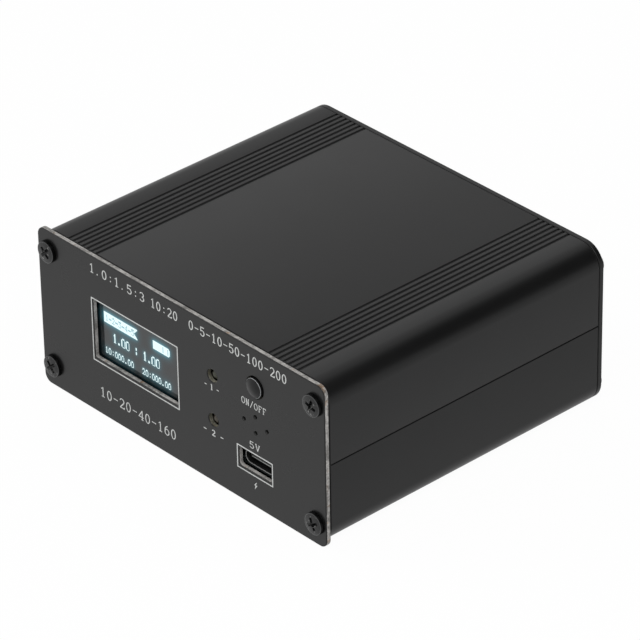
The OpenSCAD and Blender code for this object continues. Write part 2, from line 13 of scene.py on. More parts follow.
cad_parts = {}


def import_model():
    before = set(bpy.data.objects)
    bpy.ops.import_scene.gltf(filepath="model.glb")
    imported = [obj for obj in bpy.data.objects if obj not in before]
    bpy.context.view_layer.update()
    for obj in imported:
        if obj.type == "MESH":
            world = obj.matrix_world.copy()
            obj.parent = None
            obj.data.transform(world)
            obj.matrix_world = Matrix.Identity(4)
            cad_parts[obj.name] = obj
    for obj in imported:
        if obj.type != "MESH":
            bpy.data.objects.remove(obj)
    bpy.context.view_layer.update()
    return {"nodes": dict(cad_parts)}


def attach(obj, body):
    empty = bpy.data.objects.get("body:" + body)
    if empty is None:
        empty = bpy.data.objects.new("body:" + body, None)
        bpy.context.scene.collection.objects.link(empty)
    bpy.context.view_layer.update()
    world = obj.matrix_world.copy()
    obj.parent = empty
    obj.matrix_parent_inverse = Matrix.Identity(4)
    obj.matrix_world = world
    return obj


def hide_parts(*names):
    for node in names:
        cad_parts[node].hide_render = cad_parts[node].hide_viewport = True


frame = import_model()

MM = 0.001
CORNERS = ((-1, -1), (1, -1), (1, 1), (-1, 1))
FULL_TURN = 2 * math.pi

# ---- sizes that follow the CAD source ----
CASE_W = 88.0
CASE_H = 38.0
FRONT_Y = -39.0
REAR_Y = 39.0
PLATE_T = 1.2
BODY_Y0 = FRONT_Y + PLATE_T
BODY_Y1 = REAR_Y - PLATE_T
SCREW_X = 40.8
SCREW_Z = (5.0, 33.0)
SCREW_R = 1.15
SCREW_LEN = 8.0
HEAD_R = 2.5
HEAD_H = 1.1
BUTTON_X = 23.4
BUTTON_Z = 29.0
BUTTON_R = 2.25
BUTTON_PROUD = 0.45
BUTTON_RIM_R = 3.0
BUTTON_RIM_T = 0.6
BUTTON_WELL = 1.45
PLUNGER_R = 1.7
SLIDE_GAP = 0.05
PANEL_X = -13.65
PANEL_Z = 20.5
PANEL_W = 27.9
PANEL_H = 19.3
PANEL_T = 1.5
PANEL_Y = BODY_Y0 + 0.2
USB_X = 22.9
USB_Z = 10.3
USB_Y = BODY_Y0 + 0.1
USB_W = 8.94
USB_H = 3.26
USB_LEN = 7.35
USB_WALL = 0.3
TONGUE_W = 6.69
TONGUE_T = 0.7
TONGUE_TIP = USB_Y + 0.5
PLUG_Y = USB_Y + USB_LEN - USB_WALL - 2.0
SOCKET_X = 17.0
SOCKET_Z = 19.0
THREAD_R = 7.94
NECK_R = 7.34
NECK_END = REAR_Y + 0.4
SOCKET_TIP = REAR_Y + 10.6
SOCKET_BORE_R = 6.3
FLANGE_Y0 = BODY_Y1 - 2.0
FLANGE_SCREW = 9.15
BOLT_R = 1.45
BOLT_LEN = 6.0
NUT_W = 5.5
NUT_H = 2.4
CONTACT_R = 2.7
CONTACT_BORE_R = 2.0
CONTACT_TIP = SOCKET_TIP - 1.0
CONTACT_DEPTH = 9.0
INSULATOR_Y0 = FLANGE_Y0 - 2.0
CUP_R = 1.6
CUP_LEN = 4.0
CUP_BORE_R = 1.0
CUP_DEPTH = 2.0

# ---- sizes that only the looks need ----
CASE_EDGE = 0.15
CASE_BACK = 0.15
PLATE_EDGE = 0.2
LIP_ROUND = 0.1
HOLLOW_ROUND = 0.3
GROOVES_X = (26.0, 35.8)
GROOVES_SUNK = (0.07, 0.4)
HEAD_SHORT = 0.12
# Widths of the bands of the screw heads painted lighter (wear and highlight) and near black (shade)
HEAD_WORN_AND_HIGHLIGHT_BAND = 0.2
HEAD_PAINTED_SHADE_BAND = 0.06
EDGE_STEPS = 3
THREAD_PITCH = 1.058
THREAD_DEPTH = 0.58
PRINT_T = 0.02
PRINT_Y = FRONT_Y - PRINT_T
PEN_W = 0.27
PEN_H = 0.2
LINE_W = 0.27
CHIP_GRAIN = 1700.0
CHIP_LEVEL = 0.65
CHIP_EDGE = 14.0
PIXEL = 0.17
RASTER_X = -25.05
RASTER_Z = 14.55
RASTER_W = 128
RASTER_H = 64
GLOW_MARGIN = 11
GLOWS = ((2, 0.55), (6, 0.6))
GLASS_EDGE = 0.1

# ---- camera, fitted to the photograph's edges ----
CAMERA_PLACE = (613.27, -551.81, 528.13)
CAMERA_RIGHT = (0.67568, 0.73704, -0.01525)
CAMERA_DOWN = (0.37914, -0.36517, -0.85024)
CAMERA_AHEAD = (-0.63222, 0.56871, -0.52618)
CAMERA_LENS = 261.82
SENSOR_W = 36.0


def linked(name, data):
    """A new object in the scene"""
    made = bpy.data.objects.new(name, data)
    bpy.context.scene.collection.objects.link(made)
    return made


def set_camera():
    data = bpy.data.cameras.new("meter_camera")
    data.sensor_width = SENSOR_W
    data.lens = CAMERA_LENS
    data.clip_start = 0.05
    data.clip_end = 20.0
    camera = linked("meter_camera", data)
    axes = (Vector(CAMERA_RIGHT), -Vector(CAMERA_DOWN), -Vector(CAMERA_AHEAD))
    place = Matrix(axes).transposed().to_4x4()
    place.translation = Vector(CAMERA_PLACE) * MM
    camera.matrix_world = place
    bpy.context.scene.camera = camera


set_camera()

# ---- shader groups that several finishes share ----


def new_group(name, inputs, outputs, tree_kind="ShaderNodeTree"):
    """An empty node group; gives the tree, the sockets it takes and the sockets it gives"""
    tree = bpy.data.node_groups.new(name, tree_kind)
    for label, kind, *value in inputs:
        socket = tree.interface.new_socket(label, in_out="INPUT", socket_type="NodeSocket" + kind)
        if value:
            socket.default_value = value[0]
    for label, kind in outputs:
        tree.interface.new_socket(label, in_out="OUTPUT", socket_type="NodeSocket" + kind)
    return tree, tree.nodes.new("NodeGroupInput").outputs, tree.nodes.new("NodeGroupOutput").inputs


def put(tree, target, value):
    """Links the target socket to a value that is a socket, or else sets it"""
    if isinstance(value, bpy.types.NodeSocket):
        tree.links.new(value, target)
    else:
        target.default_value = value


def node(tree, kind, values, **settings):
    """A new node's outputs; values fill its inputs by name or number"""
    made = tree.nodes.new(kind)
    for label, setting in settings.items():
        setattr(made, label, setting)
    for label, value in values.items():
        put(tree, made.inputs[label], value)
    return made.outputs


def maths(tree, operation, *sides):
    """A Math node's result; each side is a socket or a number"""
    return node(tree, "ShaderNodeMath", dict(enumerate(sides)), operation=operation)[0]


def scaled(tree, value, factor, offset=0.0):
    """The value times the factor, plus the offset"""
    return maths(tree, "MULTIPLY_ADD", value, factor, offset)


def noise(tree, vector, scale, detail, rough):
    values = {"Vector": vector, "Scale": scale, "Detail": detail, "Roughness": rough}
    return node(tree, "ShaderNodeTexNoise", values)["Fac"]


def stretched(tree, vector, factors):
    """A vector scaled along each axis"""
    return node(tree, "ShaderNodeVectorMath", {0: vector, 1: factors}, operation="MULTIPLY")[0]


def mixed(tree, share, first, second, blend="MIX"):
    """A colour between two"""
    values = {0: share, 6: first, 7: second}
    return node(tree, "ShaderNodeMix", values, data_type="RGBA", blend_type=blend)[2]


def blasted_grain():
    """Fine grain of a blasted, moulded or painted surface, and a slow drift of its shade"""
    tree, take, give = new_group(
        "blasted_grain",
        [("Vector", "Vector"), ("Grain", "Float", 5000.0), ("Drift", "Float", 40.0)],
        [("Height", "Float"), ("Shade", "Float")],
    )
    vector = take["Vector"]
    fine = noise(tree, vector, take["Grain"], 3.0, 0.6)
    slow = noise(tree, vector, take["Drift"], 3.0, 0.55)
    tree.links.new(fine, give["Height"])
    tree.links.new(scaled(tree, fine, 0.35, scaled(tree, slow, 0.65)), give["Shade"])
    return tree


def die_lines():
    """Faint lines along Y, as an extrusion die leaves them"""
    tree, take, give = new_group(
        "die_lines",
        [("Vector", "Vector"), ("Fineness", "Float", 1500.0), ("Depth", "Float", 0.5)],
        [("Height", "Float")],
    )
    along = stretched(tree, take["Vector"], (1.0, 0.012, 1.0))
    lines = noise(tree, along, take["Fineness"], 2.0, 0.5)
    tree.links.new(scaled(tree, lines, take["Depth"]), give["Height"])
    return tree


def handling_marks():
    """Roughness that varies a little, as where fingers and cloths have been"""
    tree, take, give = new_group(
        "handling_marks",
        [("Vector", "Vector"), ("Roughness", "Float", 0.4), ("Spread", "Float", 0.08),
         ("Size", "Float", 60.0)],
        [("Roughness", "Float")],
    )
    broad = noise(tree, take["Vector"], take["Size"], 4.0, 0.6)
    offset = maths(tree, "SUBTRACT", broad, 0.5)
    marks = scaled(tree, offset, take["Spread"], take["Roughness"])
    tree.links.new(marks, give["Roughness"])
    return tree


def shade_drift():
    """A colour drawn lighter and darker by a shade mask"""
    tree, take, give = new_group(
        "shade_drift",
        [("Shade", "Float", 0.5), ("Dark", "Color", (0, 0, 0, 1)),
         ("Light", "Color", (1, 1, 1, 1))],
        [("Color", "Color")],
    )
    sharper = scaled(tree, take["Shade"], 2.8, -0.32 * 2.8)
    tree.links.new(mixed(tree, sharper, take["Dark"], take["Light"]), give["Color"])
    return tree


GRAIN = blasted_grain()
LINES = die_lines()
MARKS = handling_marks()
DRIFT = shade_drift()


def place_group(tree, group, **values):
    """The outputs of a group placed in a finish"""
    return node(tree, "ShaderNodeGroup", values, node_tree=group)


def solid(colour):
    return (*colour, 1.0)


def start_finish(name, metallic, specular):
    """A material, its tree, its shader's inputs and its Object coordinates"""
    material = bpy.data.materials.new(name)
    material.use_nodes = True
    tree = material.node_tree
    shader = tree.nodes["Principled BSDF"]
    shader.inputs["Metallic"].default_value = metallic
    shader.inputs["Specular IOR Level"].default_value = specular
    return material, tree, shader.inputs, node(tree, "ShaderNodeTexCoord", {})["Object"]


def drifting(tree, shade, dark, light):
    """A colour between two by a shade mask"""
    return place_group(tree, DRIFT, Shade=shade, Dark=solid(dark), Light=solid(light))["Color"]


def cover(tree, shader, vector, colour, rough, spread, size=60.0):
    """Gives the shader its colour and a roughness with handling marks"""
    tree.links.new(colour, shader["Base Color"])
    marks = place_group(tree, MARKS, Vector=vector, Roughness=rough, Spread=spread, Size=size)
    tree.links.new(marks["Roughness"], shader["Roughness"])


def raise_relief(tree, shader, height, depth, strength):
    """Feeds a height to the shader's normal"""
    values = {"Strength": strength, "Distance": depth, "Height": height}
    tree.links.new(node(tree, "ShaderNodeBump", values)["Normal"], shader["Normal"])


def finish(name, colour, rough, metallic=0.0, specular=0.5, grain=5000.0, depth=0.00001,
           strength=0.4, drift=40.0, spread=0.08, contrast=0.12, lines=0.0,
           transmission=0.0, chips=0.0):
    """A surface with grain, drifting shade and handling marks; lines adds extrusion lines,
    and chips the brightness of the small spots where a coat has come off"""
    material, tree, shader, vector = start_finish(name, metallic, specular)
    relief = place_group(tree, GRAIN, Vector=vector, Grain=grain, Drift=drift)
    dark, light = ([c * share for c in colour] for share in (1 - contrast, 1 + contrast))
    tone = drifting(tree, relief["Shade"], dark, light)
    if chips:
        spots = noise(tree, vector, CHIP_GRAIN, 1.0, 0.4)
        spots = scaled(tree, spots, CHIP_EDGE, -CHIP_LEVEL * CHIP_EDGE)
        tone = mixed(tree, spots, tone, solid((chips, chips, 0.97 * chips)))
    cover(tree, shader, vector, tone, rough, spread)
    height = relief["Height"]
    if lines:
        drawn = place_group(tree, LINES, Vector=vector, Depth=lines)
        height = maths(tree, "ADD", height, drawn["Height"])
    raise_relief(tree, shader, height, depth, strength)
    shader["Transmission Weight"].default_value = transmission
    return material


CASE_FINISH = finish("case_anodised", (0.0052, 0.0053, 0.0054), 0.4, specular=0.235, grain=5200.0,
                     depth=0.000012, strength=0.28, spread=0.06, contrast=0.18, lines=0.35)
# The groove hollows are painted lighter than the case: painted light that lifts their shade
GROOVE_PAINTED_LIGHT = finish("case_groove_painted_light", (0.014, 0.0142, 0.0144), 0.5, specular=0.235, grain=5200.0)
PLATE_LACQUER = finish("plate_lacquer", (0.0054, 0.0055, 0.0055), 0.28, specular=0.275,
                       grain=3600.0, strength=0.25, spread=0.07, contrast=0.18)
SCREW_GRAIN = {"grain": 2600.0, "depth": 0.00004}
SCREW_BLACK = finish("screw_black_zinc", (0.0044, 0.0046, 0.0048), 0.24, specular=0.31,
                     strength=0.7, spread=0.2, contrast=0.5, chips=0.16, **SCREW_GRAIN)
# Near-black copy of the screw finish for the heads' side walls: painted shade
SCREW_SIDE_PAINTED_SHADE = finish("screw_black_side_painted_shade", (0.0015, 0.0015, 0.0016), 0.35, specular=0.1,
                    strength=0.5, **SCREW_GRAIN)
# Lighter copy of the screw finish for the heads' shoulders: wear and a painted highlight
SCREW_WORN_AND_HIGHLIGHT = finish("screw_black_worn_and_highlight", (0.02, 0.0206, 0.0212), 0.25, strength=0.7, spread=0.2,
                    contrast=0.6, **SCREW_GRAIN)
SCREW_STEEL = finish("screw_steel", (0.5, 0.49, 0.47), 0.3, metallic=1.0, grain=3000.0,
                     spread=0.15, contrast=0.15)
BUTTON_BLACK = finish("button_plastic", (0.0045, 0.0045, 0.0048), 0.34, specular=0.22,
                      grain=6000.0, depth=0.000008, strength=0.25, contrast=0.15)
# Light grey for the black cap's rounded front edge: a painted highlight
BUTTON_RIM_HIGHLIGHT = finish("button_rim_painted_highlight", (0.34, 0.35, 0.36), 0.25, specular=0.7)
BLACK_PLASTIC = finish("black_plastic", (0.012, 0.012, 0.012), 0.5, grain=2500.0, depth=0.00002)
TONGUE_PLASTIC = finish("tongue_plastic", (0.014, 0.0145, 0.014), 0.4, grain=2500.0)
# Near black for the inside of the steel socket shell: painted shade
MOUTH_PAINTED_SHADE = finish("socket_inner_painted_shade", (0.008, 0.008, 0.008), 0.5, specular=0.2)
PLATING = {"metallic": 1.0, "grain": 2600.0, "depth": 0.000006}
MOUTH_STEEL = finish("socket_mouth_steel", (0.24, 0.24, 0.236), 0.5, spread=0.12, **PLATING)
MID_STEEL = finish("tongue_mid_steel", (0.3, 0.31, 0.3), 0.5, spread=0.12, **PLATING)
NICKEL = finish("nickel_plating", (0.66, 0.63, 0.58), 0.24, spread=0.14, contrast=0.08, **PLATING)
GOLD = finish("gold_plating", (0.83, 0.56, 0.2), 0.24, spread=0.12, contrast=0.08, **PLATING)
# Gold darkened to about a quarter for the pads deep in the charging socket: painted shade
GOLD_PAINTED_SHADE = finish("contact_gold_painted_shade", (0.22, 0.15, 0.06), 0.4, metallic=1.0, grain=2600.0)
INK = finish("white_print", (0.62, 0.63, 0.62), 0.55, specular=0.3, grain=2600.0, contrast=0.14,
             drift=900.0)


def fibre_core(name, dark, light, stain):
    """The cut edge of the front plate: thin layers of glass cloth and resin, stained in places"""
    material, tree, shader, vector = start_finish(name, 0.0, 0.3)
    flat = stretched(tree, vector, (0.08, 1.0, 0.08))
    layers = noise(tree, flat, 5200.0, 2.0, 0.6)
    cloth = noise(tree, vector, 1800.0, 3.0, 0.7)
    drift = noise(tree, vector, 260.0, 3.0, 0.6)
    mask = scaled(tree, drift, 1.2, maths(tree, "SUBTRACT", cloth, 1.0))
    mask = scaled(tree, layers, 0.8, mask)
    corner = (CASE_W / 2 * MM, FRONT_Y * MM, CASE_H * MM)
    away = node(tree, "ShaderNodeVectorMath", {0: vector, 1: corner}, operation="DISTANCE")["Value"]
    near = scaled(tree, away, -330.0, 1.3)
    patches = scaled(tree, noise(tree, vector, 420.0, 2.0, 0.5), 4.0, -2.1)
    shade = maths(tree, "MAXIMUM", scaled(tree, patches, 0.75), maths(tree, "ADD", near, patches))
    tint = drifting(tree, shade, (1.0, 1.0, 1.0), stain)
    stained = mixed(tree, 1.0, drifting(tree, mask, dark, light), tint, "MULTIPLY")
    cover(tree, shader, vector, stained, 0.7, 0.2, 900.0)
    raise_relief(tree, shader, mask, 0.00004, 0.6)
    return material


def solder_mask():
    """A printed board: black mask with raised copper tracks under it"""
    material, tree, shader, vector = start_finish("board_mask", 0.0, 0.5)
    values = {"Vector": vector, "Scale": 260.0, "Mortar Size": 0.05}
    tracks = node(tree, "ShaderNodeTexBrick", values)["Fac"]
    relief = place_group(tree, GRAIN, Vector=vector, Grain=2400.0, Drift=70.0)
    mask = drifting(tree, relief["Shade"], (0.006, 0.007, 0.008), (0.011, 0.013, 0.014))
    over = mixed(tree, tracks, mask, solid((0.018, 0.021, 0.022)))
    cover(tree, shader, vector, over, 0.32, 0.12)
    raise_relief(tree, shader, scaled(tree, tracks, 2.0, relief["Height"]), 0.00003, 0.5)
    return material


def display_glass():
    """Black glass over a lit raster: the faces' lit share and the points' soft glow"""
    material, tree, shader, vector = start_finish("display_glass", 0.0, 0.6)
    relief = place_group(tree, GRAIN, Vector=vector, Grain=900.0, Drift=60.0)
    tone = drifting(tree, relief["Shade"], (0.004, 0.006, 0.007), (0.007, 0.01, 0.012))
    cover(tree, shader, vector, tone, 0.09, 0.05, 120.0)
    glow, lit = (node(tree, "ShaderNodeAttribute", {}, attribute_name=label)["Fac"]
                 for label in ("glow", "lit"))
    # The halo is painted glow: the glass round the lit points emits a soft cyan light
    halo = mixed(tree, glow, solid((0.0, 0.0, 0.0)), solid((0.055, 0.36, 0.46)))
    light = mixed(tree, lit, halo, solid((0.78, 0.98, 1.0)))
    tree.links.new(light, shader["Emission Color"])
    shader["Emission Strength"].default_value = 1.0
    return material


PLATE_CORE = fibre_core("plate_core", (0.165, 0.159, 0.152), (0.44, 0.426, 0.41),
                        (0.72, 0.5, 0.34))
DRILLED_CORE = fibre_core("plate_core_drilled", (0.1, 0.096, 0.074), (0.26, 0.25, 0.2),
                          (0.8, 0.68, 0.5))
# The walls of the small sound holes are painted near black: painted shade
SOUND_HOLE_PAINTED_SHADE = finish("plate_core_sound_painted_shade", (0.02, 0.02, 0.019), 0.7, specular=0.2)
DISPLAY_GLASS = display_glass()

# ---- mesh helpers ----


def finish_edges(bm, limit_deg, sharp=()):
    """Smooth faces, with the given edges and all folds past the limit kept sharp"""
    limit = math.radians(limit_deg)
    for face in bm.faces:
        face.smooth = True
    for edge in bm.edges:
        if len(edge.link_faces) == 2 and edge.calc_face_angle(0.0) > limit:
            edge.smooth = False
    for edge in sharp:
        edge.smooth = False


def new_piece(name, mesh, materials=()):
    for material in materials:
        mesh.materials.append(material)
    return linked(name, mesh)


def piece_from(bm, name, materials):
    """A piece from a bmesh in millimetres"""
    bmesh.ops.scale(bm, vec=(MM, MM, MM), verts=bm.verts)
    mesh = bpy.data.meshes.new(name)
    bm.to_mesh(mesh)
    bm.free()
    return new_piece(name, mesh, materials)


def seat(piece, slot, *nodes, body="case"):
    """Rides the piece on its body and hides the CAD nodes it stands for; slot is not used"""
    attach(piece, body)
    if nodes:
        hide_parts(*nodes)
    return piece


def baked(piece):
    """The piece's evaluated mesh, in place of its modifiers"""
    graph = bpy.context.evaluated_depsgraph_get()
    mesh = bpy.data.meshes.new_from_object(piece.evaluated_get(graph), depsgraph=graph)
    piece.modifiers.clear()
    piece.data = mesh
    return piece


def carve(piece, cutter):
    """Cuts the cutter out of the piece and removes it"""
    cut = piece.modifiers.new("carve", "BOOLEAN")
    cut.operation = "DIFFERENCE"
    cut.solver = "EXACT"
    cut.object = cutter
    baked(piece)
    bpy.data.objects.remove(cutter)
    return piece


def sharpen(piece):
    """Merges what touches, turns faces outwards and marks the sharp edges"""
    bm = bmesh.new()
    bm.from_mesh(piece.data)
    bmesh.ops.remove_doubles(bm, verts=bm.verts, dist=1e-7)
    bmesh.ops.recalc_face_normals(bm, faces=bm.faces)
    finish_edges(bm, 32)
    bm.to_mesh(piece.data)
    bm.free()
    return piece


def join_rings(bm, rings, closed=False):
    """Bands of faces between rings of corners; a ring may be one point; closed joins the ends"""
    bands = []
    for near, far in zip(rings, rings[1:] + rings[:1] if closed else rings[1:]):
        bands.append([])
        for i in range(max(len(near), len(far))):
            j = i + 1
            corners = (near[i % len(near)], near[j % len(near)], far[j % len(far)],
                       far[i % len(far)])
            corners = list(dict.fromkeys(corners))
            if len(corners) > 2:
                bands[-1].append(bm.faces.new(corners))
    return bands


def closed_piece(bm, name, materials, limit_deg):
    """A piece from a closed form, with its faces outwards and folds past the limit sharp"""
    bmesh.ops.recalc_face_normals(bm, faces=bm.faces)
    finish_edges(bm, limit_deg)
    return piece_from(bm, name, materials)


def skinned(rings, name, materials, limit_deg=35, closed=False, second_from=None):
    """A piece from rings of points; both ends are filled unless closed"""
    bm = bmesh.new()
    made = [[bm.verts.new(p) for p in ring] for ring in rings]
    bands = join_rings(bm, made, closed)
    if not closed:
        bm.faces.new(made[0])
        bands.append([bm.faces.new(made[-1])])
    if second_from:
        for face in sum(bands[second_from:], []):
            face.material_index = 1
    return closed_piece(bm, name, materials, limit_deg)


def lathe(profile, steps, matrix):
    """A closed turned bmesh about local Z from (radius, height) points, bottom to top"""
    bm = bmesh.new()
    turn = [FULL_TURN * i / steps for i in range(steps)]
    rings = []
    for radius, height in profile:
        rings.append([bm.verts.new((radius * math.cos(a), radius * math.sin(a), height))
                      for a in (turn if radius else turn[:1])])
    join_rings(bm, rings)
    bmesh.ops.transform(bm, matrix=matrix, verts=bm.verts)
    bmesh.ops.recalc_face_normals(bm, faces=bm.faces)
    return bm


def ring_at(y, outline):
    """Points of the model from (x, z) points at a depth"""
    return [(x, y, z) for x, z in outline]


def facing(x, z, tilt_deg):
    """Local Z points out of the front at a tilt of 90 degrees and out of the rear at -90"""
    return Matrix.Translation((x, 0, z)) @ Matrix.Rotation(math.radians(tilt_deg), 4, "X")


def on_circle(x, y, radius, degrees):
    a = math.radians(degrees)
    return (x + radius * math.cos(a), y + radius * math.sin(a))


def arc(x, y, radius, start, end, steps=5):
    """Points of an arc, angles in degrees"""
    return [on_circle(x, y, radius, start + (end - start) * k / steps) for k in range(steps + 1)]


def rounded_box(x, z, width, height, radius, steps):
    """The outline of a rounded rectangle about a point"""
    reach_x, reach_z = width / 2 - radius, height / 2 - radius
    corners = ((1, -1, -90), (1, 1, 0), (-1, 1, 90), (-1, -1, 180))
    return [p for sx, sz, first in corners
            for p in arc(x + sx * reach_x, z + sz * reach_z, radius, first, first + 90, steps)]


# ---- parts cut from a section: the case halves and the plates ----


def section_loops(cad_node, level):
    """The refined outlines of a CAD node's flat front end, with the material on their left"""
    bm = bmesh.new()
    bm.from_mesh(frame["nodes"][cad_node].data)
    bmesh.ops.remove_doubles(bm, verts=bm.verts, dist=1e-6)
    end = {f for f in bm.faces if all(abs(v.co.y / MM - level) < 1e-3 for v in f.verts)}
    after = {}
    for face in end:
        for corner in face.loops:
            if sum(f in end for f in corner.edge.link_faces) == 1:
                after[corner.vert] = corner.link_loop_next.vert
    loops = []
    while after:
        first, here = after.popitem()
        loop = [first]
        while here is not first:
            loop.append(here)
            here = after.pop(here)
        loops.append(refined([Vector((v.co.x, v.co.z)) / MM for v in loop]))
    bm.free()
    return loops


def turn_at(loop, i):
    """The signed turn in radians at a point of a loop"""
    before = loop[i] - loop[i - 1]
    after = loop[(i + 1) % len(loop)] - loop[i]
    return math.atan2(before.x * after.y - before.y * after.x, before.dot(after))


def refined(loop):
    """The loop with a point added on each short piece of an arc"""
    longest, gentle = 1.5, math.radians(15)
    made = []
    for i, here in enumerate(loop):
        there = loop[(i + 1) % len(loop)]
        made.append(here)
        turns = (turn_at(loop, i), turn_at(loop, (i + 1) % len(loop)))
        along = there - here
        if along.length < longest and all(abs(t) < gentle for t in turns):
            rise = along.length / 2 * math.tan(sum(turns) / 8)
            out = Vector((along.y, -along.x)).normalized()
            made.append((here + there) / 2 + out * rise)
    return made


def eased(loop):
    """The loop with its sharp corners rounded, the hollow ones more"""
    steps = 3
    made = []
    for i, here in enumerate(loop):
        turn = turn_at(loop, i)
        if abs(turn) < math.radians(30):
            made.append(here)
            continue
        back = loop[i - 1] - here
        ahead = loop[(i + 1) % len(loop)] - here
        radius, share = (LIP_ROUND, 0.33) if turn > 0 else (HOLLOW_ROUND, 0.6)
        tangent = radius * math.tan(abs(turn) / 2)
        reach = min(tangent, *(min(share, 0.45 if side.length > 0.5 else 1.0) * side.length
                               for side in (back, ahead)))
        start = here + back.normalized() * reach
        end = here + ahead.normalized() * reach
        for k in range(steps + 1):
            t = k / steps
            made.append(start.lerp(here, t).lerp(here.lerp(end, t), t))
    return made


def drawn_in(loop, distance):
    """The loop moved into the material by a distance"""
    made = []
    for i, here in enumerate(loop):
        before = (here - loop[i - 1]).normalized()
        after = (loop[(i + 1) % len(loop)] - here).normalized()
        first = Vector((-before.y, before.x))
        second = Vector((-after.y, after.x))
        made.append(here + (first + second) * (distance / max(0.4, 1 + first.dot(second))))
    return made


def prism(loops, y0, y1, edge, walls=None):
    """A bar along Y of this section with eased end edges; each loop's wall has its own material"""
    turn = [math.pi / 2 * k / EDGE_STEPS for k in range(EDGE_STEPS + 1)]
    front = [(y0 + edge * (1 - math.cos(a)), edge * (1 - math.sin(a))) for a in turn]
    levels = front + [(y1 - (y - y0), inset) for y, inset in reversed(front)]
    bm = bmesh.new()
    sharp, ends = [], ([], [])
    for loop, wall in zip(loops, walls or [0] * len(loops)):
        rings = [[bm.verts.new(point) for point in ring_at(y, drawn_in(loop, inset))]
                 for y, inset in levels]
        for face in join_rings(bm, rings[::-1])[EDGE_STEPS]:
            face.material_index = wall
        folds = [[bm.edges.get(pair) for pair in zip(ring, ring[1:] + ring[:1])]
                 for ring in (rings[0], rings[EDGE_STEPS], rings[EDGE_STEPS + 1], rings[-1])]
        sharp += sum(folds, [])
        ends[0].extend(folds[0])
        ends[1].extend(folds[-1])
    for edges, way in zip(ends, (-1, 1)):
        made = bmesh.ops.triangle_fill(bm, edges=edges, use_beauty=True, normal=(0, way, 0))
        for face in made["geom"]:
            if isinstance(face, bmesh.types.BMFace) and face.normal.y * way < 0:
                face.normal_flip()
    bm.normal_update()
    finish_edges(bm, 35, sharp)
    return bm


def within(value, limits):
    return limits[0] < value < limits[1]


def length_of(loop):
    return sum((p - loop[i - 1]).length for i, p in enumerate(loop))


def case_half(name, cad_node):
    """One half of the extruded case, the hollows of its grooves in a lighter finish of their own:
    painted light
    """
    loops = [eased(loop) for loop in section_loops(cad_node, BODY_Y0)]
    bar = prism(loops, BODY_Y0 + CASE_BACK, BODY_Y1 - CASE_BACK, CASE_EDGE)
    # Faces in the groove hollows take the lighter finish, painted light
    for face in bar.faces:
        middle = face.calc_center_median()
        sunk = min(middle.z, CASE_H - middle.z)
        if within(sunk, GROOVES_SUNK) and within(abs(middle.x), GROOVES_X):
            face.material_index = 1
    seat(piece_from(bar, name, [CASE_FINISH, GROOVE_PAINTED_LIGHT]), "case_finish", cad_node)


case_half("upper_case_half", "upper_shell")
case_half("lower_case_half", "lower_shell")

front_loops = section_loops("front_plate", FRONT_Y)
# The small sound holes' walls take the near-black finish, painted shade
cut_walls = ((20.0, 1), (5.0, 2), (0.0, 3))
front_walls = [next(wall for least, wall in cut_walls if length_of(loop) > least)
               for loop in front_loops]
front_panel = piece_from(prism(front_loops, FRONT_Y, BODY_Y0, PLATE_EDGE, front_walls),
                         "front_panel", [PLATE_LACQUER, PLATE_CORE, DRILLED_CORE, SOUND_HOLE_PAINTED_SHADE])
seat(front_panel, "plate_face", "front_plate")

rear_panel = piece_from(prism(section_loops("rear_plate", BODY_Y1), BODY_Y1, REAR_Y, PLATE_EDGE),
                        "rear_panel", [CASE_FINISH])
seat(rear_panel, "plate_face", "rear_plate")

# ---- screws and nuts, seated by one node tree ----


def turned_about(tree, axis, angle):
    """A rotation about one axis"""
    euler = node(tree, "ShaderNodeCombineXYZ", {axis: angle})[0]
    return node(tree, "FunctionNodeEulerToRotation", {0: euler})[0]


def seating_tree():
    """Puts one fastener on every point, tilted to its face and turned about its own axis"""
    inputs = (("Seats", "Geometry"), ("Fastener", "Object"), ("Tilt", "Float"), ("Size", "Float"),
              ("Largest turn", "Float"), ("Seed", "Int"), ("Finish", "Material"))
    tree, take, give = new_group("seat_fasteners", inputs, (("Fasteners", "Geometry"),),
                                 "GeometryNodeTree")
    shape = node(tree, "GeometryNodeObjectInfo", {"Object": take["Fastener"]})["Geometry"]
    values = {"Points": take["Seats"], "Instance": shape, "Scale": take["Size"],
              "Rotation": turned_about(tree, "X", take["Tilt"])}
    spread = node(tree, "GeometryNodeInstanceOnPoints", values)[0]
    least, most = 2, 3
    values = {least: 0.0, most: take["Largest turn"], "Seed": take["Seed"]}
    chance = node(tree, "FunctionNodeRandomValue", values, data_type="FLOAT")[1]
    values = {"Instances": spread, "Rotation": turned_about(tree, "Z", chance), "Local Space": True}
    turned = node(tree, "GeometryNodeRotateInstances", values)[0]
    real = node(tree, "GeometryNodeRealizeInstances", {0: turned})[0]
    values = {"Geometry": real, "Material": take["Finish"]}
    tree.links.new(node(tree, "GeometryNodeSetMaterial", values)[0], give[0])
    return tree, {s.name: s.identifier for s in tree.interface.items_tree if s.in_out == "INPUT"}


SEATING, SEATING_SOCKETS = seating_tree()


def fasteners(name, shape, seats, tilt_deg, material, turn=0.0, seed=1):
    """A piece made of one fastener on each seat, a point in millimetres"""
    mesh = bpy.data.meshes.new(name)
    mesh.from_pydata([tuple(c * MM for c in seat_point) for seat_point in seats], [], [])
    piece = new_piece(name, mesh)
    seating = piece.modifiers.new("seating", "NODES")
    seating.node_group = SEATING
    values = {"Fastener": shape, "Tilt": math.radians(tilt_deg), "Size": 1.0,
              "Largest turn": turn, "Seed": seed, "Finish": material}
    for label, value in values.items():
        seating[SEATING_SOCKETS[label]] = value
    return baked(piece)


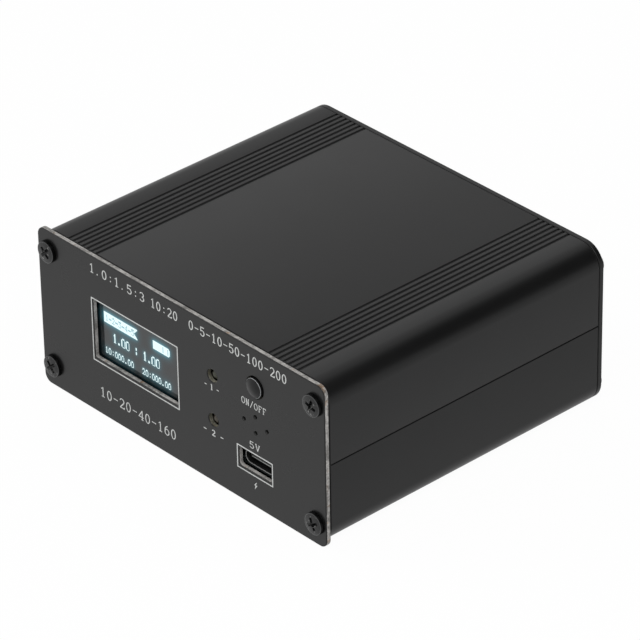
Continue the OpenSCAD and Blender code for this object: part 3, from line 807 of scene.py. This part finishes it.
def cross_cutter(height):
    """A tapered cross with a pointed middle, sunk into a screw head from above"""
    arm, half = 1.55, 0.38
    outline, arm_end = [], [(arm, -half), (arm, half), (half, half)]
    for _ in range(4):
        outline += arm_end
        arm_end = [(-y, x) for x, y in arm_end]
    bm = bmesh.new()
    levels = ((height + 0.3, 1.15), (height, 1.0), (height - 0.7, 0.6))
    rings = [[bm.verts.new((x * k, y * k, z)) for x, y in outline] for z, k in levels]
    bm.faces.new(rings[0])
    join_rings(bm, rings + [[bm.verts.new((0, 0, height - 1.0))]])
    return closed_piece(bm, "cross_cutter", [], 180)


def crowned(radii, foot_r, rise, top):
    """Profile points of a crowned face that rises by this much from its foot to its top"""
    curve = (foot_r ** 2 + rise ** 2) / (2 * rise)
    return [(r, top - curve + math.sqrt(curve ** 2 - r ** 2)) for r in radii]


def pan_screw(name, shank_r, length):
    """A pan-head cross-recess screw standing on z = 0"""
    soften, rise = 0.12, 0.2
    flat_r = HEAD_R - soften
    crown = HEAD_H - HEAD_SHORT
    radii = (flat_r, flat_r - 0.12, 1.9, 1.6, 1.3, 1.0, 0.7, 0.4, 0.0)
    top = crowned(radii, flat_r, rise, crown)
    shoulder = arc(flat_r, crown - rise - soften, soften, 0, 75)
    profile = [(0, -length), (shank_r - 0.3, -length), (shank_r, -length + 0.3), (shank_r, -0.1),
               (shank_r, 0), (HEAD_R - 0.1, 0), (HEAD_R, 0.1)] + shoulder + top
    bm = lathe(profile, 64, Matrix.Identity(4))
    screw = piece_from(bm, name, [])
    carve(screw, cross_cutter(crown))
    return sharpen(screw)


def worn_heads_with_painted_light(piece, seats):
    """Gives the side walls of the screw heads a near-black finish, painted shade, and their
    shoulders a lighter finish, wear and a painted highlight
    """
    side, worn_and_highlit = len(piece.data.materials), len(piece.data.materials) + 1
    piece.data.materials.append(SCREW_SIDE_PAINTED_SHADE)
    piece.data.materials.append(SCREW_WORN_AND_HIGHLIGHT)
    foot = 0.05
    for face in piece.data.polygons:
        spot = face.center / MM
        radius, height = min((math.hypot(spot.x - x, spot.z - z), abs(spot.y - y))
                             for x, y, z in seats)
        # The outer ring of each head's side is painted near black as shade; the shoulder inside it
        # is painted lighter as wear and as a highlight
        if within(height, (foot, HEAD_H)) and radius > HEAD_R - HEAD_WORN_AND_HIGHLIGHT_BAND:
            face.material_index = side if radius > HEAD_R - HEAD_PAINTED_SHADE_BAND else worn_and_highlit
    return piece


case_screw = pan_screw("case_screw_shape", SCREW_R, SCREW_LEN)
socket_bolt = pan_screw("socket_bolt_shape", BOLT_R, BOLT_LEN)


def nut_shape():
    """A hexagon nut with its bolt hole and chamfered corners, standing on z = 0"""
    corner, chamfer = NUT_W / math.sqrt(3), 0.25
    levels = ((BOLT_R, 0.0), (corner - chamfer, 0.0), (corner, chamfer),
              (corner, NUT_H - chamfer), (corner - chamfer, NUT_H), (BOLT_R, NUT_H))
    turn = [FULL_TURN * i / 24 for i in range(24)]
    flats = [math.cos(math.pi / 6) / math.cos(a % (math.pi / 3) - math.pi / 6) for a in turn]
    rings = []
    for radius, z in levels:
        reach = [radius * (flat if radius > BOLT_R else 1.0) for flat in flats]
        rings.append([(r * math.cos(a), r * math.sin(a), z) for a, r in zip(turn, reach)])
    return skinned(rings, "nut_shape", [], 30, closed=True)


hex_nut = nut_shape()
case_corners = [(side * SCREW_X, z) for side in (-1, 1) for z in SCREW_Z]
flange_corners = [
    (side * SOCKET_X + sx * FLANGE_SCREW, SOCKET_Z + sz * FLANGE_SCREW)
    for side in (-1, 1) for sx in (-1, 1) for sz in (-1, 1)
]
for label, y, tilt, seed in (("front", FRONT_Y, 90, 11), ("rear", REAR_Y, -90, 5)):
    seats = ring_at(y, case_corners)
    screws = fasteners(label + "_case_screws", case_screw, seats, tilt, SCREW_BLACK, FULL_TURN,
                       seed)
    seat(worn_heads_with_painted_light(screws, seats), "screw_black", label + "_screws")
seat(fasteners("socket_bolts", socket_bolt, ring_at(REAR_Y, flange_corners), -90, SCREW_STEEL,
               FULL_TURN, 8), "screw_steel", "socket_screws")
seat(fasteners("socket_bolt_nuts", hex_nut, ring_at(FLANGE_Y0 - NUT_H, flange_corners), -90,
               SCREW_STEEL), "screw_steel", "socket_nuts")
for shape in (case_screw, socket_bolt, hex_nut):
    bpy.data.objects.remove(shape)

# ---- power button ----


def button_cap():
    """A turned cap with a crowned face inside a thin glossy rim painted light grey as a highlight,
    a stop rim and a well
    """
    tip = BUTTON_PROUD - FRONT_Y
    rim_front = -(BODY_Y0 + SLIDE_GAP)
    rim_back = rim_front - BUTTON_RIM_T
    well = tip - BUTTON_WELL
    edge, lip, crown = 0.16, 0.06, 0.4
    foot = BUTTON_R - edge - lip
    profile = [(0, well), (PLUNGER_R, well), (PLUNGER_R, rim_back), (BUTTON_RIM_R - 0.08, rim_back),
               (BUTTON_RIM_R, rim_back + 0.08), (BUTTON_RIM_R, rim_front - 0.08),
               (BUTTON_RIM_R - 0.08, rim_front), (BUTTON_R + 0.05, rim_front),
               (BUTTON_R, rim_front + 0.05)]
    profile += arc(BUTTON_R - edge, tip - edge, edge, 0, 90, 6)
    profile += crowned([foot * (1 - k / 10) for k in range(11)], foot, crown, tip + crown)
    bm = lathe(profile, 96, facing(BUTTON_X, BUTTON_Z, 90))
    for face in bm.faces:
        middle = face.calc_center_median()
        radius = math.hypot(middle.x - BUTTON_X, middle.z - BUTTON_Z)
        depth = middle.y - (FRONT_Y - BUTTON_PROUD)
        # The rounded front edge is painted light grey as a highlight
        on_highlight_rim = radius > BUTTON_R - 0.5 * edge and depth < 0.6 * edge
        face.material_index = 1 if on_highlight_rim else 0
    finish_edges(bm, 35)
    return piece_from(bm, "power_button_cap", [BUTTON_BLACK, BUTTON_RIM_HIGHLIGHT])


seat(button_cap(), "button_plastic", "power_button", body="button")

# ---- display ----

DOTS = {
    "0": (14, 17, 17, 17, 17, 17, 14), "1": (4, 12, 4, 4, 4, 4, 14),
    "2": (14, 17, 1, 2, 4, 8, 31), "3": (31, 2, 4, 2, 1, 17, 14),
    "4": (2, 6, 10, 18, 31, 2, 2), "5": (31, 16, 30, 1, 1, 17, 14),
    ":": (0, 4, 4, 0, 4, 4, 0), ".": (0, 0, 0, 0, 0, 12, 12), "-": (0, 0, 0, 31, 0, 0, 0),
    " ": (0, 0, 0, 0, 0, 0, 0),
}


def write_dots(raster, words, left, bottom, width, height, advance, value=1.0):
    """Writes numbers on the raster, each drawn from its dots and scaled to width by height"""
    for place, sign in enumerate(words):
        rows = DOTS[sign]
        for v in range(height):
            row = rows[int((height - 1 - v) * 7 / height)]
            for u in range(width):
                if row >> (4 - int(u * 5 / width)) & 1:
                    raster[bottom + v, left + place * advance + u] = value


def display_raster():
    """What the display shows: a banner, a battery, and three rows of readings"""
    raster = np.zeros((RASTER_H, RASTER_W))
    banner_left, banner_right, banner_low, banner_high = 0, 62, 46, 61
    middle = (banner_low + banner_high - 1) / 2
    for v in range(banner_low, banner_high):
        notch = int(6 * (1 - abs(v - middle) / (middle - banner_low)))
        raster[v, banner_left:banner_right - notch] = 1.0
    write_dots(raster, "1-2-3-4-5", 3, 49, 5, 9, 6, 0.25)
    battery_left, battery_right, battery_low, battery_high = 91, 117, 48, 60
    raster[battery_low:battery_high, battery_left:battery_right] = 1.0
    middle = (battery_low + battery_high - 1) / 2
    for v in range(battery_low, battery_high):
        reach = int(5.0 * math.sqrt(max(0.0, 1 - ((v - middle) / 6.2) ** 2)))
        raster[v, battery_right:battery_right + 1 + reach] = 1.0
    for gap in (battery_right - 8, battery_right + 1):
        raster[battery_low + 2:battery_high - 2, gap] = 0.0
    write_dots(raster, "1.00 : 1.00", 15, 23, 7, 13, 8)
    write_dots(raster, "10:000.00", 0, 2, 5, 9, 6)
    write_dots(raster, "20:000.00", 69, 2, 5, 9, 6)
    return raster


def softened(raster, reach):
    """The raster's glow with a margin round it, blurred both ways"""
    field = np.pad(raster, GLOW_MARGIN)
    steps = np.arange(-3 * reach, 3 * reach + 1)
    weights = np.exp(-(steps / reach) ** 2 / 2)
    weights /= weights.sum()
    for axis in (0, 1):
        field = np.apply_along_axis(lambda row: np.convolve(row, weights, "same"), axis, field)
    return field


def grid_lines(middle, size, start, count):
    """Places across the glass: its bevelled sides, and the points' borders between them"""
    low, high = middle - size / 2, middle + size / 2
    points = [start + PIXEL * i for i in range(-GLOW_MARGIN, count + GLOW_MARGIN + 1)]
    return [low, low + GLASS_EDGE] + points + [high - GLASS_EDGE, high]


def display_module():
    """The panel: a glass slab whose front carries the raster as a fine grid"""
    raster = display_raster()
    shine = sum(weight * softened(raster, reach) for reach, weight in GLOWS)
    xs = grid_lines(PANEL_X, PANEL_W, RASTER_X, RASTER_W)
    zs = grid_lines(PANEL_Z, PANEL_H, RASTER_Z, RASTER_H)
    bm = bmesh.new()
    glow = bm.verts.layers.float.new("glow")
    lit = bm.faces.layers.float.new("lit")
    front = {}
    for i, x in enumerate(xs):
        for k, z in enumerate(zs):
            rim = i in (0, len(xs) - 1) or k in (0, len(zs) - 1)
            point = bm.verts.new((x, PANEL_Y + (GLASS_EDGE if rim else 0), z))
            u, v = i - 2, k - 2
            if 0 < u < shine.shape[1] and 0 < v < shine.shape[0]:
                point[glow] = min(1.0, shine[v - 1:v + 1, u - 1:u + 1].mean())
            front[i, k] = point
    for i in range(len(xs) - 1):
        for k in range(len(zs) - 1):
            spots = ((i, k), (i + 1, k), (i + 1, k + 1), (i, k + 1))
            face = bm.faces.new([front[spot] for spot in spots])
            u, v = i - 2 - GLOW_MARGIN, k - 2 - GLOW_MARGIN
            if 0 <= u < RASTER_W and 0 <= v < RASTER_H:
                face[lit] = raster[v, u]
    last_x, last_z = len(xs) - 1, len(zs) - 1
    border = [(i, 0) for i in range(last_x)] + [(last_x, k) for k in range(last_z)]
    border += [(i, last_z) for i in range(last_x, 0, -1)] + [(0, k) for k in range(last_z, 0, -1)]
    border = [front[p] for p in border]
    back = [bm.verts.new((v.co.x, PANEL_Y + PANEL_T, v.co.z)) for v in border]
    join_rings(bm, [border, back])
    bm.faces.new(back)
    return closed_piece(bm, "display_module", [DISPLAY_GLASS], 30)


seat(display_module(), "display_glass", "display_panel")

# ---- coax sockets ----


def threaded_barrel(name, x):
    """A barrel with its plain neck, a real thread, a notched rim and a smooth bore"""
    per_pitch, around, notches = 14, 120, 4
    notch_half, notch_depth, slope = 0.09, 0.55, 0.012
    rise = 0.35
    start, end = NECK_END, SOCKET_TIP - rise
    angles = [FULL_TURN * i / around for i in range(around)]
    for n in range(notches):
        middle = math.pi / 4 + FULL_TURN * n / notches
        angles = [a for a in angles if abs(a - middle) > notch_half + 3 * slope
                  or abs(a - middle) < notch_half - 3 * slope]
        angles += [middle + s * (notch_half + t * slope) for s in (-1, 1) for t in (-1, 1)]
    angles.sort()
    count = round((end - start) / THREAD_PITCH * per_pitch)
    rows = [(FLANGE_Y0, NECK_R, 0, 0), (NECK_END - 0.02, NECK_R, 0, 0)]
    for k in range(count + 1):
        y = start + (end - start) * k / count
        fade = min(1.0, (y - start) / THREAD_PITCH, (end - y) / (0.6 * THREAD_PITCH))
        rows.append((y, THREAD_R, THREAD_DEPTH * max(0.0, fade), 0))
    rows += [(SOCKET_TIP, THREAD_R - rise, 0, 1), (SOCKET_TIP, SOCKET_BORE_R + 0.15, 0, 1),
             (SOCKET_TIP - 0.15, SOCKET_BORE_R, 0, 1), (SOCKET_TIP - 0.8, SOCKET_BORE_R, 0, 0),
             (FLANGE_Y0, SOCKET_BORE_R, 0, 0)]
    rings = []
    for a in angles:
        gap = min(abs(a - math.pi / 4 - FULL_TURN * n / notches) for n in range(notches))
        sunk = notch_depth if gap < notch_half else 0.0
        ring = []
        for y, radius, depth, at_rim in rows:
            wave = abs(((y / THREAD_PITCH - a / FULL_TURN) % 1.0) * 2 - 1)
            r = radius - depth * min(1.0, max(0.0, (wave - 0.12) / 0.76))
            level = y - sunk * at_rim
            ring.append((x + r * math.cos(a), level, SOCKET_Z + r * math.sin(a)))
        rings.append(ring)
    return skinned(rings, name, [NICKEL], 38, closed=True)


def contact_sleeve(name, x):
    """The centre contact: a slotted sleeve in front, a solder cup behind"""
    bottom, cup = CONTACT_TIP - CONTACT_DEPTH, INSULATOR_Y0 - CUP_LEN
    soft = 0.25
    profile = [(0, bottom), (CONTACT_BORE_R, bottom), (CONTACT_BORE_R, CONTACT_TIP - soft),
               (CONTACT_BORE_R + 0.2, CONTACT_TIP)]
    profile += arc(CONTACT_R - soft, CONTACT_TIP - soft, soft, 90, 0, 4)
    profile += [(CONTACT_R, INSULATOR_Y0), (CUP_R, INSULATOR_Y0), (CUP_R, cup + 0.1),
                (CUP_R - 0.1, cup), (CUP_BORE_R, cup), (CUP_BORE_R, cup + CUP_DEPTH),
                (0, cup + CUP_DEPTH)]
    sleeve = piece_from(lathe(profile, 48, facing(x, SOCKET_Z, -90)), name, [GOLD])
    slot_depth, slot_half = 3.8, 0.25
    for turn in (45, 135):
        bm = bmesh.new()
        bmesh.ops.create_cube(bm, size=1.0)
        bmesh.ops.scale(bm, vec=(2 * slot_half, 2 * slot_depth, 3 * CONTACT_R), verts=bm.verts)
        place = Matrix.Translation((x, CONTACT_TIP, SOCKET_Z)) @ Matrix.Rotation(
            math.radians(turn), 4, "Y")
        bmesh.ops.transform(bm, matrix=place, verts=bm.verts)
        carve(sleeve, piece_from(bm, "slot_cutter", []))
    return sharpen(sleeve)


for side, label in ((-1, "input"), (1, "output")):
    seat(threaded_barrel(label + "_barrel", side * SOCKET_X), "nickel", label + "_socket")
    seat(contact_sleeve(label + "_contact_sleeve", side * SOCKET_X), "gold", label + "_contact")

# ---- charging socket ----


def usb_ring(y, inset, width=USB_W, height=USB_H, radius=USB_H / 2 - 0.05, steps=8):
    """One ring about the charging socket's middle, drawn in by the inset"""
    return ring_at(y, rounded_box(USB_X, USB_Z, width - 2 * inset, height - 2 * inset,
                                  radius - inset, steps))


def usb_shell():
    back, soft = USB_Y + USB_LEN, 0.1
    levels = ((back, 0.08), (back - 0.08, 0), (USB_Y + soft, 0), (USB_Y + 0.03, 0.03),
              (USB_Y, soft), (USB_Y, USB_WALL - soft), (USB_Y + 0.03, USB_WALL - 0.03),
              (USB_Y + soft, USB_WALL), (back - USB_WALL, USB_WALL))
    # The inner wall and back of the shell, from ring 7 on, are painted near black as shade
    return skinned([usb_ring(y, inset) for y, inset in levels], "usb_metal_shell",
                   [MOUTH_STEEL, MOUTH_PAINTED_SHADE], second_from=7)


def usb_tongue():
    """The plastic tongue, and as a closed form of its own the plug that fills the shell's back"""
    soft = 0.12
    rings = [usb_ring(y, inset, TONGUE_W, TONGUE_T, soft + inset, 1)
             for y, inset in ((TONGUE_TIP, 0.14), (TONGUE_TIP + 0.06, 0.04),
                              (TONGUE_TIP + 0.18, 0), (PLUG_Y, 0))]
    seat(skinned(rings, "usb_plastic_tongue", [TONGUE_PLASTIC]), "black_plastic", "usb_tongue")
    rings = [usb_ring(y, USB_WALL) for y in (PLUG_Y, USB_Y + USB_LEN - USB_WALL)]
    seat(skinned(rings, "usb_back_fill", [BLACK_PLASTIC]), "black_plastic")


def usb_mid_plate():
    """The front edge of the steel plate in the middle of the tongue"""
    rings = [usb_ring(TONGUE_TIP + dy, inset, TONGUE_W - 0.8, 0.2, 0.09, 4)
             for dy, inset in ((-0.04, 0.03), (-0.02, 0.0), (0.005, 0.0))]
    return skinned(rings, "usb_mid_plate", [MID_STEEL])


def contact_pad():
    """One contact strip of the tongue, lying on z = 0"""
    length, width, thick = 3.2, 0.26, 0.04
    rings = []
    for z, inset in ((0.0, 0.0), (thick * 0.6, 0.0), (thick, 0.03)):
        half_w, half_l = width / 2 - inset, length / 2 - inset
        rings.append([(sx * half_w, sy * half_l, z) for sx, sy in CORNERS])
    return skinned(rings, "contact_pad_shape", [])


seat(usb_shell(), "nickel", "usb_shell")
usb_tongue()
seat(usb_mid_plate(), "nickel")
pad = contact_pad()
pad_pitch, pads_in_row = 0.5, 12
pad_y = TONGUE_TIP + 2.1
# The pads take the darkened gold, painted shade
for label, side, tilt in (("upper", 1, 0), ("lower", -1, 180)):
    seats = [(USB_X + (i - (pads_in_row - 1) / 2) * pad_pitch, pad_y, USB_Z + side * TONGUE_T / 2)
             for i in range(pads_in_row)]
    seat(fasteners("usb_pads_" + label, pad, seats, tilt, GOLD_PAINTED_SHADE), "gold")
bpy.data.objects.remove(pad)

# ---- print on the front plate ----


def printed_ring(name, left, right, low, high):
    """A thin printed line round an opening"""
    corner, least = 0.15, 0.02
    rings = []
    for inset, y in ((0, FRONT_Y), (0, PRINT_Y), (LINE_W, PRINT_Y), (LINE_W, FRONT_Y)):
        outline = rounded_box((left + right) / 2, (low + high) / 2, right - left - 2 * inset,
                              high - low - 2 * inset, max(least, corner - inset), 4)
        rings.append(ring_at(y, outline))
    seat(skinned(rings, name, [INK], 30, closed=True), "plate_face")


def bow(x, z, rx, rz, start, end, steps=10):
    """Points along an oval, angles in degrees"""
    turns = (math.radians(start + (end - start) * k / steps) for k in range(steps + 1))
    return [(x + rx * math.cos(a), z + rz * math.sin(a)) for a in turns]


# Each sign is drawn in a field 4 wide and 6 high, from open strokes
SIGNS = {
    "0": [bow(2, 3, 1.45, 3, 90, 450, 18)],
    "1": [[(0.8, 4.9), (1.9, 6), (2, 6), (2, 0)], [(0.9, 0), (3.1, 0)]],
    "2": [bow(2, 4.4, 1.5, 1.6, 165, -35) + [(0.5, 0)], [(0.45, 0), (3.6, 0), (3.7, 0.9)]],
    "3": [bow(1.9, 4.5, 1.4, 1.5, 155, -80), bow(1.9, 1.55, 1.6, 1.55, 85, -155)],
    "4": [[(2.8, 6), (0.3, 1.7), (3.9, 1.7)], [(2.8, 6), (2.8, 0)], [(2.0, 0), (3.6, 0)]],
    "5": [[(3.5, 6), (0.8, 6), (0.7, 3.2)], bow(1.9, 1.9, 1.65, 1.9, 140, -155)],
    "6": [bow(2, 1.9, 1.5, 1.9, 90, 450, 14), bow(2.9, 2.3, 2.4, 3.6, 95, 180, 6)],
    "-": [[(0.4, 3), (3.6, 3)]],
    ":": [[(2, 0.6), (2, 1.5)], [(2, 3.6), (2, 4.5)]],
    ".": [[(1.3, 0), (1.3, 0.9)]],
    "/": [[(0.5, -0.6), (3.5, 6.6)]],
    "O": [bow(2, 3, 1.75, 3, 90, 450, 18)],
    "N": [[(0.8, 0), (0.8, 6)], [(0.8, 6), (3.3, 0)], [(3.3, 0), (3.3, 6)], [(0.1, 6), (0.9, 6)],
          [(0.1, 0), (1.5, 0)], [(2.6, 6), (4, 6)]],
    "F": [[(1, 0), (1, 6)], [(0.3, 6), (3.6, 6), (3.7, 4.9)], [(1, 3.1), (2.7, 3.1)],
          [(0.3, 0), (1.8, 0)]],
    "V": [[(0.5, 6), (2, 0)], [(2, 0), (3.5, 6)], [(0, 6), (1.2, 6)], [(2.8, 6), (4, 6)]],
}


def pen_stroke(bm, points, weight, top):
    """A flat printed stroke along (x, z) points, wider on uprights than on crossbars"""
    last = len(points) - 1
    sections = []
    for i, here in enumerate(points):
        before = here - points[i - 1] if i else points[1] - here
        after = points[i + 1] - here if i < last else here - points[i - 1]
        first = Vector((before.y, -before.x)).normalized()
        normal = (first + Vector((after.y, -after.x)).normalized()).normalized()
        reach = weight * math.hypot(PEN_W * normal.x, PEN_H * normal.y) / 2
        side = normal * reach / max(0.6, normal.dot(first))
        corners = ((top, here + side), (top, here - side), (FRONT_Y, here - side),
                   (FRONT_Y, here + side))
        sections.append([bm.verts.new((p.x, y, p.y)) for y, p in corners])
    join_rings(bm, sections)
    bm.faces.new(sections[0])
    bm.faces.new(sections[-1])


def legend(name, words, left, right, low, high, weight=1.0):
    """Printed signs that fill a field of the front plate; weight thins the strokes"""
    advance = 4.9
    wide = (right - left) / (advance * (len(words) - 1) + 4)
    tall = (high - low) / 6
    bm = bmesh.new()
    for place, sign in enumerate(words):
        for k, stroke in enumerate(SIGNS.get(sign, ())):
            path = [Vector((left + (x + advance * place) * wide, low + z * tall))
                    for x, z in stroke]
            pen_stroke(bm, path, weight, FRONT_Y - PRINT_T * (1 - 0.06 * k))
    seat(closed_piece(bm, name, [INK], 40), "plate_face")


printed_ring("window_line", -27.35, -0.1, 12.66, 27.95)
printed_ring("charging_line", 17.4, 28.25, 7.37, 13.02)
LEGENDS = (
    ("scale_left", "1.0:1.5:3", -27.4, -10.0, 34.1, 36.1),
    ("scale_middle", "10:20", -8.1, 0.2, 34.1, 36.1),
    ("scale_right", "0-5-10-50-100-200", 3.6, 33.0, 34.1, 36.1),
    ("scale_low", "10-20-40-160", -25.6, -1.6, 4.6, 6.8),
    ("work_number", "- 1 -", 7.95, 12.4, 22.4, 23.7),
    ("charge_number", "- 2 -", 7.2, 13.4, 11.4, 12.7),
    ("switch_words", "ON/OFF", 19.25, 26.6, 23.75, 25.2, 0.66),
    ("socket_number", "5V", 21.3, 24.5, 13.95, 15.45, 0.8),
)
for legend_row in LEGENDS:
    legend(*legend_row)


def bolt_sign():
    """A small lightning bolt under the charging socket"""
    shape = ((0.25, 1.0), (-0.5, 0.1), (-0.05, 0.1), (-0.3, -0.9), (0.55, 0.25), (0.05, 0.25),
             (0.4, 1.0))
    middle, size = 5.15, 0.95
    outline = [(USB_X + x * size, middle + z * size) for x, z in shape]
    rings = [ring_at(y, outline) for y in (FRONT_Y, PRINT_Y)]
    seat(skinned(rings, "bolt_sign", [INK]), "plate_face")


bolt_sign()

# ---- finishes of the CAD nodes that stay in view ----

LENS = {"specular": 0.3, "grain": 1500.0, "transmission": 0.3}
NODE_FINISHES = (
    ("switch_plunger switch_housing buzzer link_strip", BLACK_PLASTIC),
    ("link_pins", GOLD),
    ("input_flange output_flange", NICKEL),
    ("front_board main_board", solder_mask()),
    ("switch_cover switch_dome",
     finish("spring_steel", (0.55, 0.54, 0.52), 0.28, metallic=1.0, grain=2500.0)),
    ("display_cushion battery_pad",
     finish("foam", (0.012, 0.012, 0.012), 0.95, grain=2200.0, depth=0.00015, strength=0.9,
            contrast=0.4)),
    ("display_ribbon",
     finish("ribbon_film", (0.42, 0.19, 0.035), 0.3, specular=0.6, grain=1500.0)),
    ("work_lamp", finish("work_lens", (0.06, 0.062, 0.042), 0.3, **LENS)),
    ("charge_lamp", finish("charge_lens", (0.075, 0.062, 0.046), 0.3, **LENS)),
    ("processor charger_chip regulator detector_diodes",
     finish("chip_epoxy", (0.013, 0.013, 0.014), 0.6, grain=3500.0, depth=0.00002, strength=0.6,
            contrast=0.2)),
    ("power_inductor",
     finish("ferrite", (0.05, 0.05, 0.052), 0.65, grain=1800.0, depth=0.00004, strength=0.8,
            contrast=0.3)),
    ("buffer_capacitor", finish("can_sleeve", (0.018, 0.03, 0.09), 0.3, specular=0.6)),
    ("battery_cell",
     finish("cell_foil", (0.6, 0.6, 0.62), 0.3, metallic=1.0, grain=700.0, depth=0.00006,
            strength=0.5, drift=90.0, spread=0.2)),
    ("battery_leads", finish("lead_cover", (0.32, 0.015, 0.012), 0.38)),
    ("battery_plug battery_socket core_cradle",
     finish("ivory_plastic", (0.62, 0.58, 0.46), 0.42, grain=2600.0)),
    ("forward_core reflected_core",
     finish("core_paint", (0.34, 0.035, 0.02), 0.45, grain=1800.0, depth=0.00003, strength=0.6,
            contrast=0.2)),
    ("forward_winding reflected_winding",
     finish("enamelled_copper", (0.55, 0.2, 0.06), 0.22, metallic=1.0, contrast=0.15)),
    ("through_line", finish("line_copper", (0.7, 0.32, 0.16), 0.3, metallic=1.0, lines=0.6)),
    ("input_insulator output_insulator",
     finish("insulator_resin", (0.62, 0.56, 0.42), 0.45, grain=1600.0, depth=0.00003,
            strength=0.5, contrast=0.1)),
)
for names, material in NODE_FINISHES:
    for name in names.split():
        mesh = frame["nodes"][name].data
        mesh.materials.clear()
        mesh.materials.append(material)

# ---- floor, world and lamps, in metres ----

AIM = Vector((0, 0, 0.02))


def seen_directly(tree):
    """1 where the camera, a mirror or a clear part looks straight at a surface"""
    path = node(tree, "ShaderNodeLightPath", {})
    seen = maths(tree, "MAXIMUM", path["Is Camera Ray"], path["Is Glossy Ray"])
    return maths(tree, "MAXIMUM", seen, path["Is Transmission Ray"])


def stage_quad(name, corners, material):
    """A flat face with its material, for the floor and the card"""
    mesh = bpy.data.meshes.new(name)
    mesh.from_pydata(corners, [], [(0, 1, 2, 3)])
    made = new_piece(name, mesh, [material])
    return made


def floor():
    """A pale floor that looks white and keeps the soft shadow"""
    material = bpy.data.materials.new("pale_floor")
    material.use_nodes = True
    tree = material.node_tree
    tree.nodes.clear()
    paint = node(tree, "ShaderNodeBsdfDiffuse", {"Color": solid((0.9, 0.9, 0.9))})[0]
    white = node(tree, "ShaderNodeEmission", {"Color": solid((1, 1, 1)), "Strength": 1.0})[0]
    share = scaled(tree, seen_directly(tree), 0.97)
    blend = node(tree, "ShaderNodeMixShader", {0: share, 1: paint, 2: white})[0]
    node(tree, "ShaderNodeOutputMaterial", {"Surface": blend})
    half, drop = 3.0, -0.0001
    stage_quad("floor", [(sx * half, sy * half, drop) for sx, sy in CORNERS], material)


def world():
    """Soft grey fill, seen as white"""
    made = bpy.data.worlds.new("studio")
    bpy.context.scene.world = made
    made.use_nodes = True
    tree = made.node_tree
    back = tree.nodes["Background"].inputs
    put(tree, back["Color"], solid((1, 1, 1)))
    fill = 0.5
    put(tree, back["Strength"], scaled(tree, seen_directly(tree), 1.0 - fill, fill))


def soft_lamp(name, place, width, height, power):
    """An area lamp aimed at the meter"""
    data = bpy.data.lights.new(name, "AREA")
    data.shape = "RECTANGLE"
    data.size = width
    data.size_y = height
    data.energy = power
    turn = (AIM - Vector(place)).to_track_quat("-Z", "Y")
    linked(name, data).matrix_world = Matrix.LocRotScale(Vector(place), turn, None)


def rear_card():
    """A black card standing off behind the meter, which only gloss sees"""
    towards = Vector((0.526, 0.569, 0.632)).normalized()
    sweep = Vector((0.77, 0.0, -0.64)).normalized()
    across = towards.cross(sweep).normalized()
    centre = AIM + towards * 0.7 + sweep * 0.05
    corners = [tuple(centre + sweep * a * 0.39 + across * b * 0.5) for a, b in CORNERS]
    black = finish("card_black", (0.004, 0.004, 0.004), 1.0, specular=0.0, depth=0.0)
    card = stage_quad("rear_card", corners, black)
    card.visible_camera = False
    card.visible_diffuse = False
    card.visible_shadow = False


floor()
world()
rear_card()
soft_lamp("key_lamp", (0.5, -0.45, 1.0), 0.5, 0.5, 6.0)
soft_lamp("left_lamp", (-0.9, -0.5, 0.7), 0.6, 0.6, 3.0)

scene = bpy.context.scene
scene.view_settings.view_transform = "Standard"
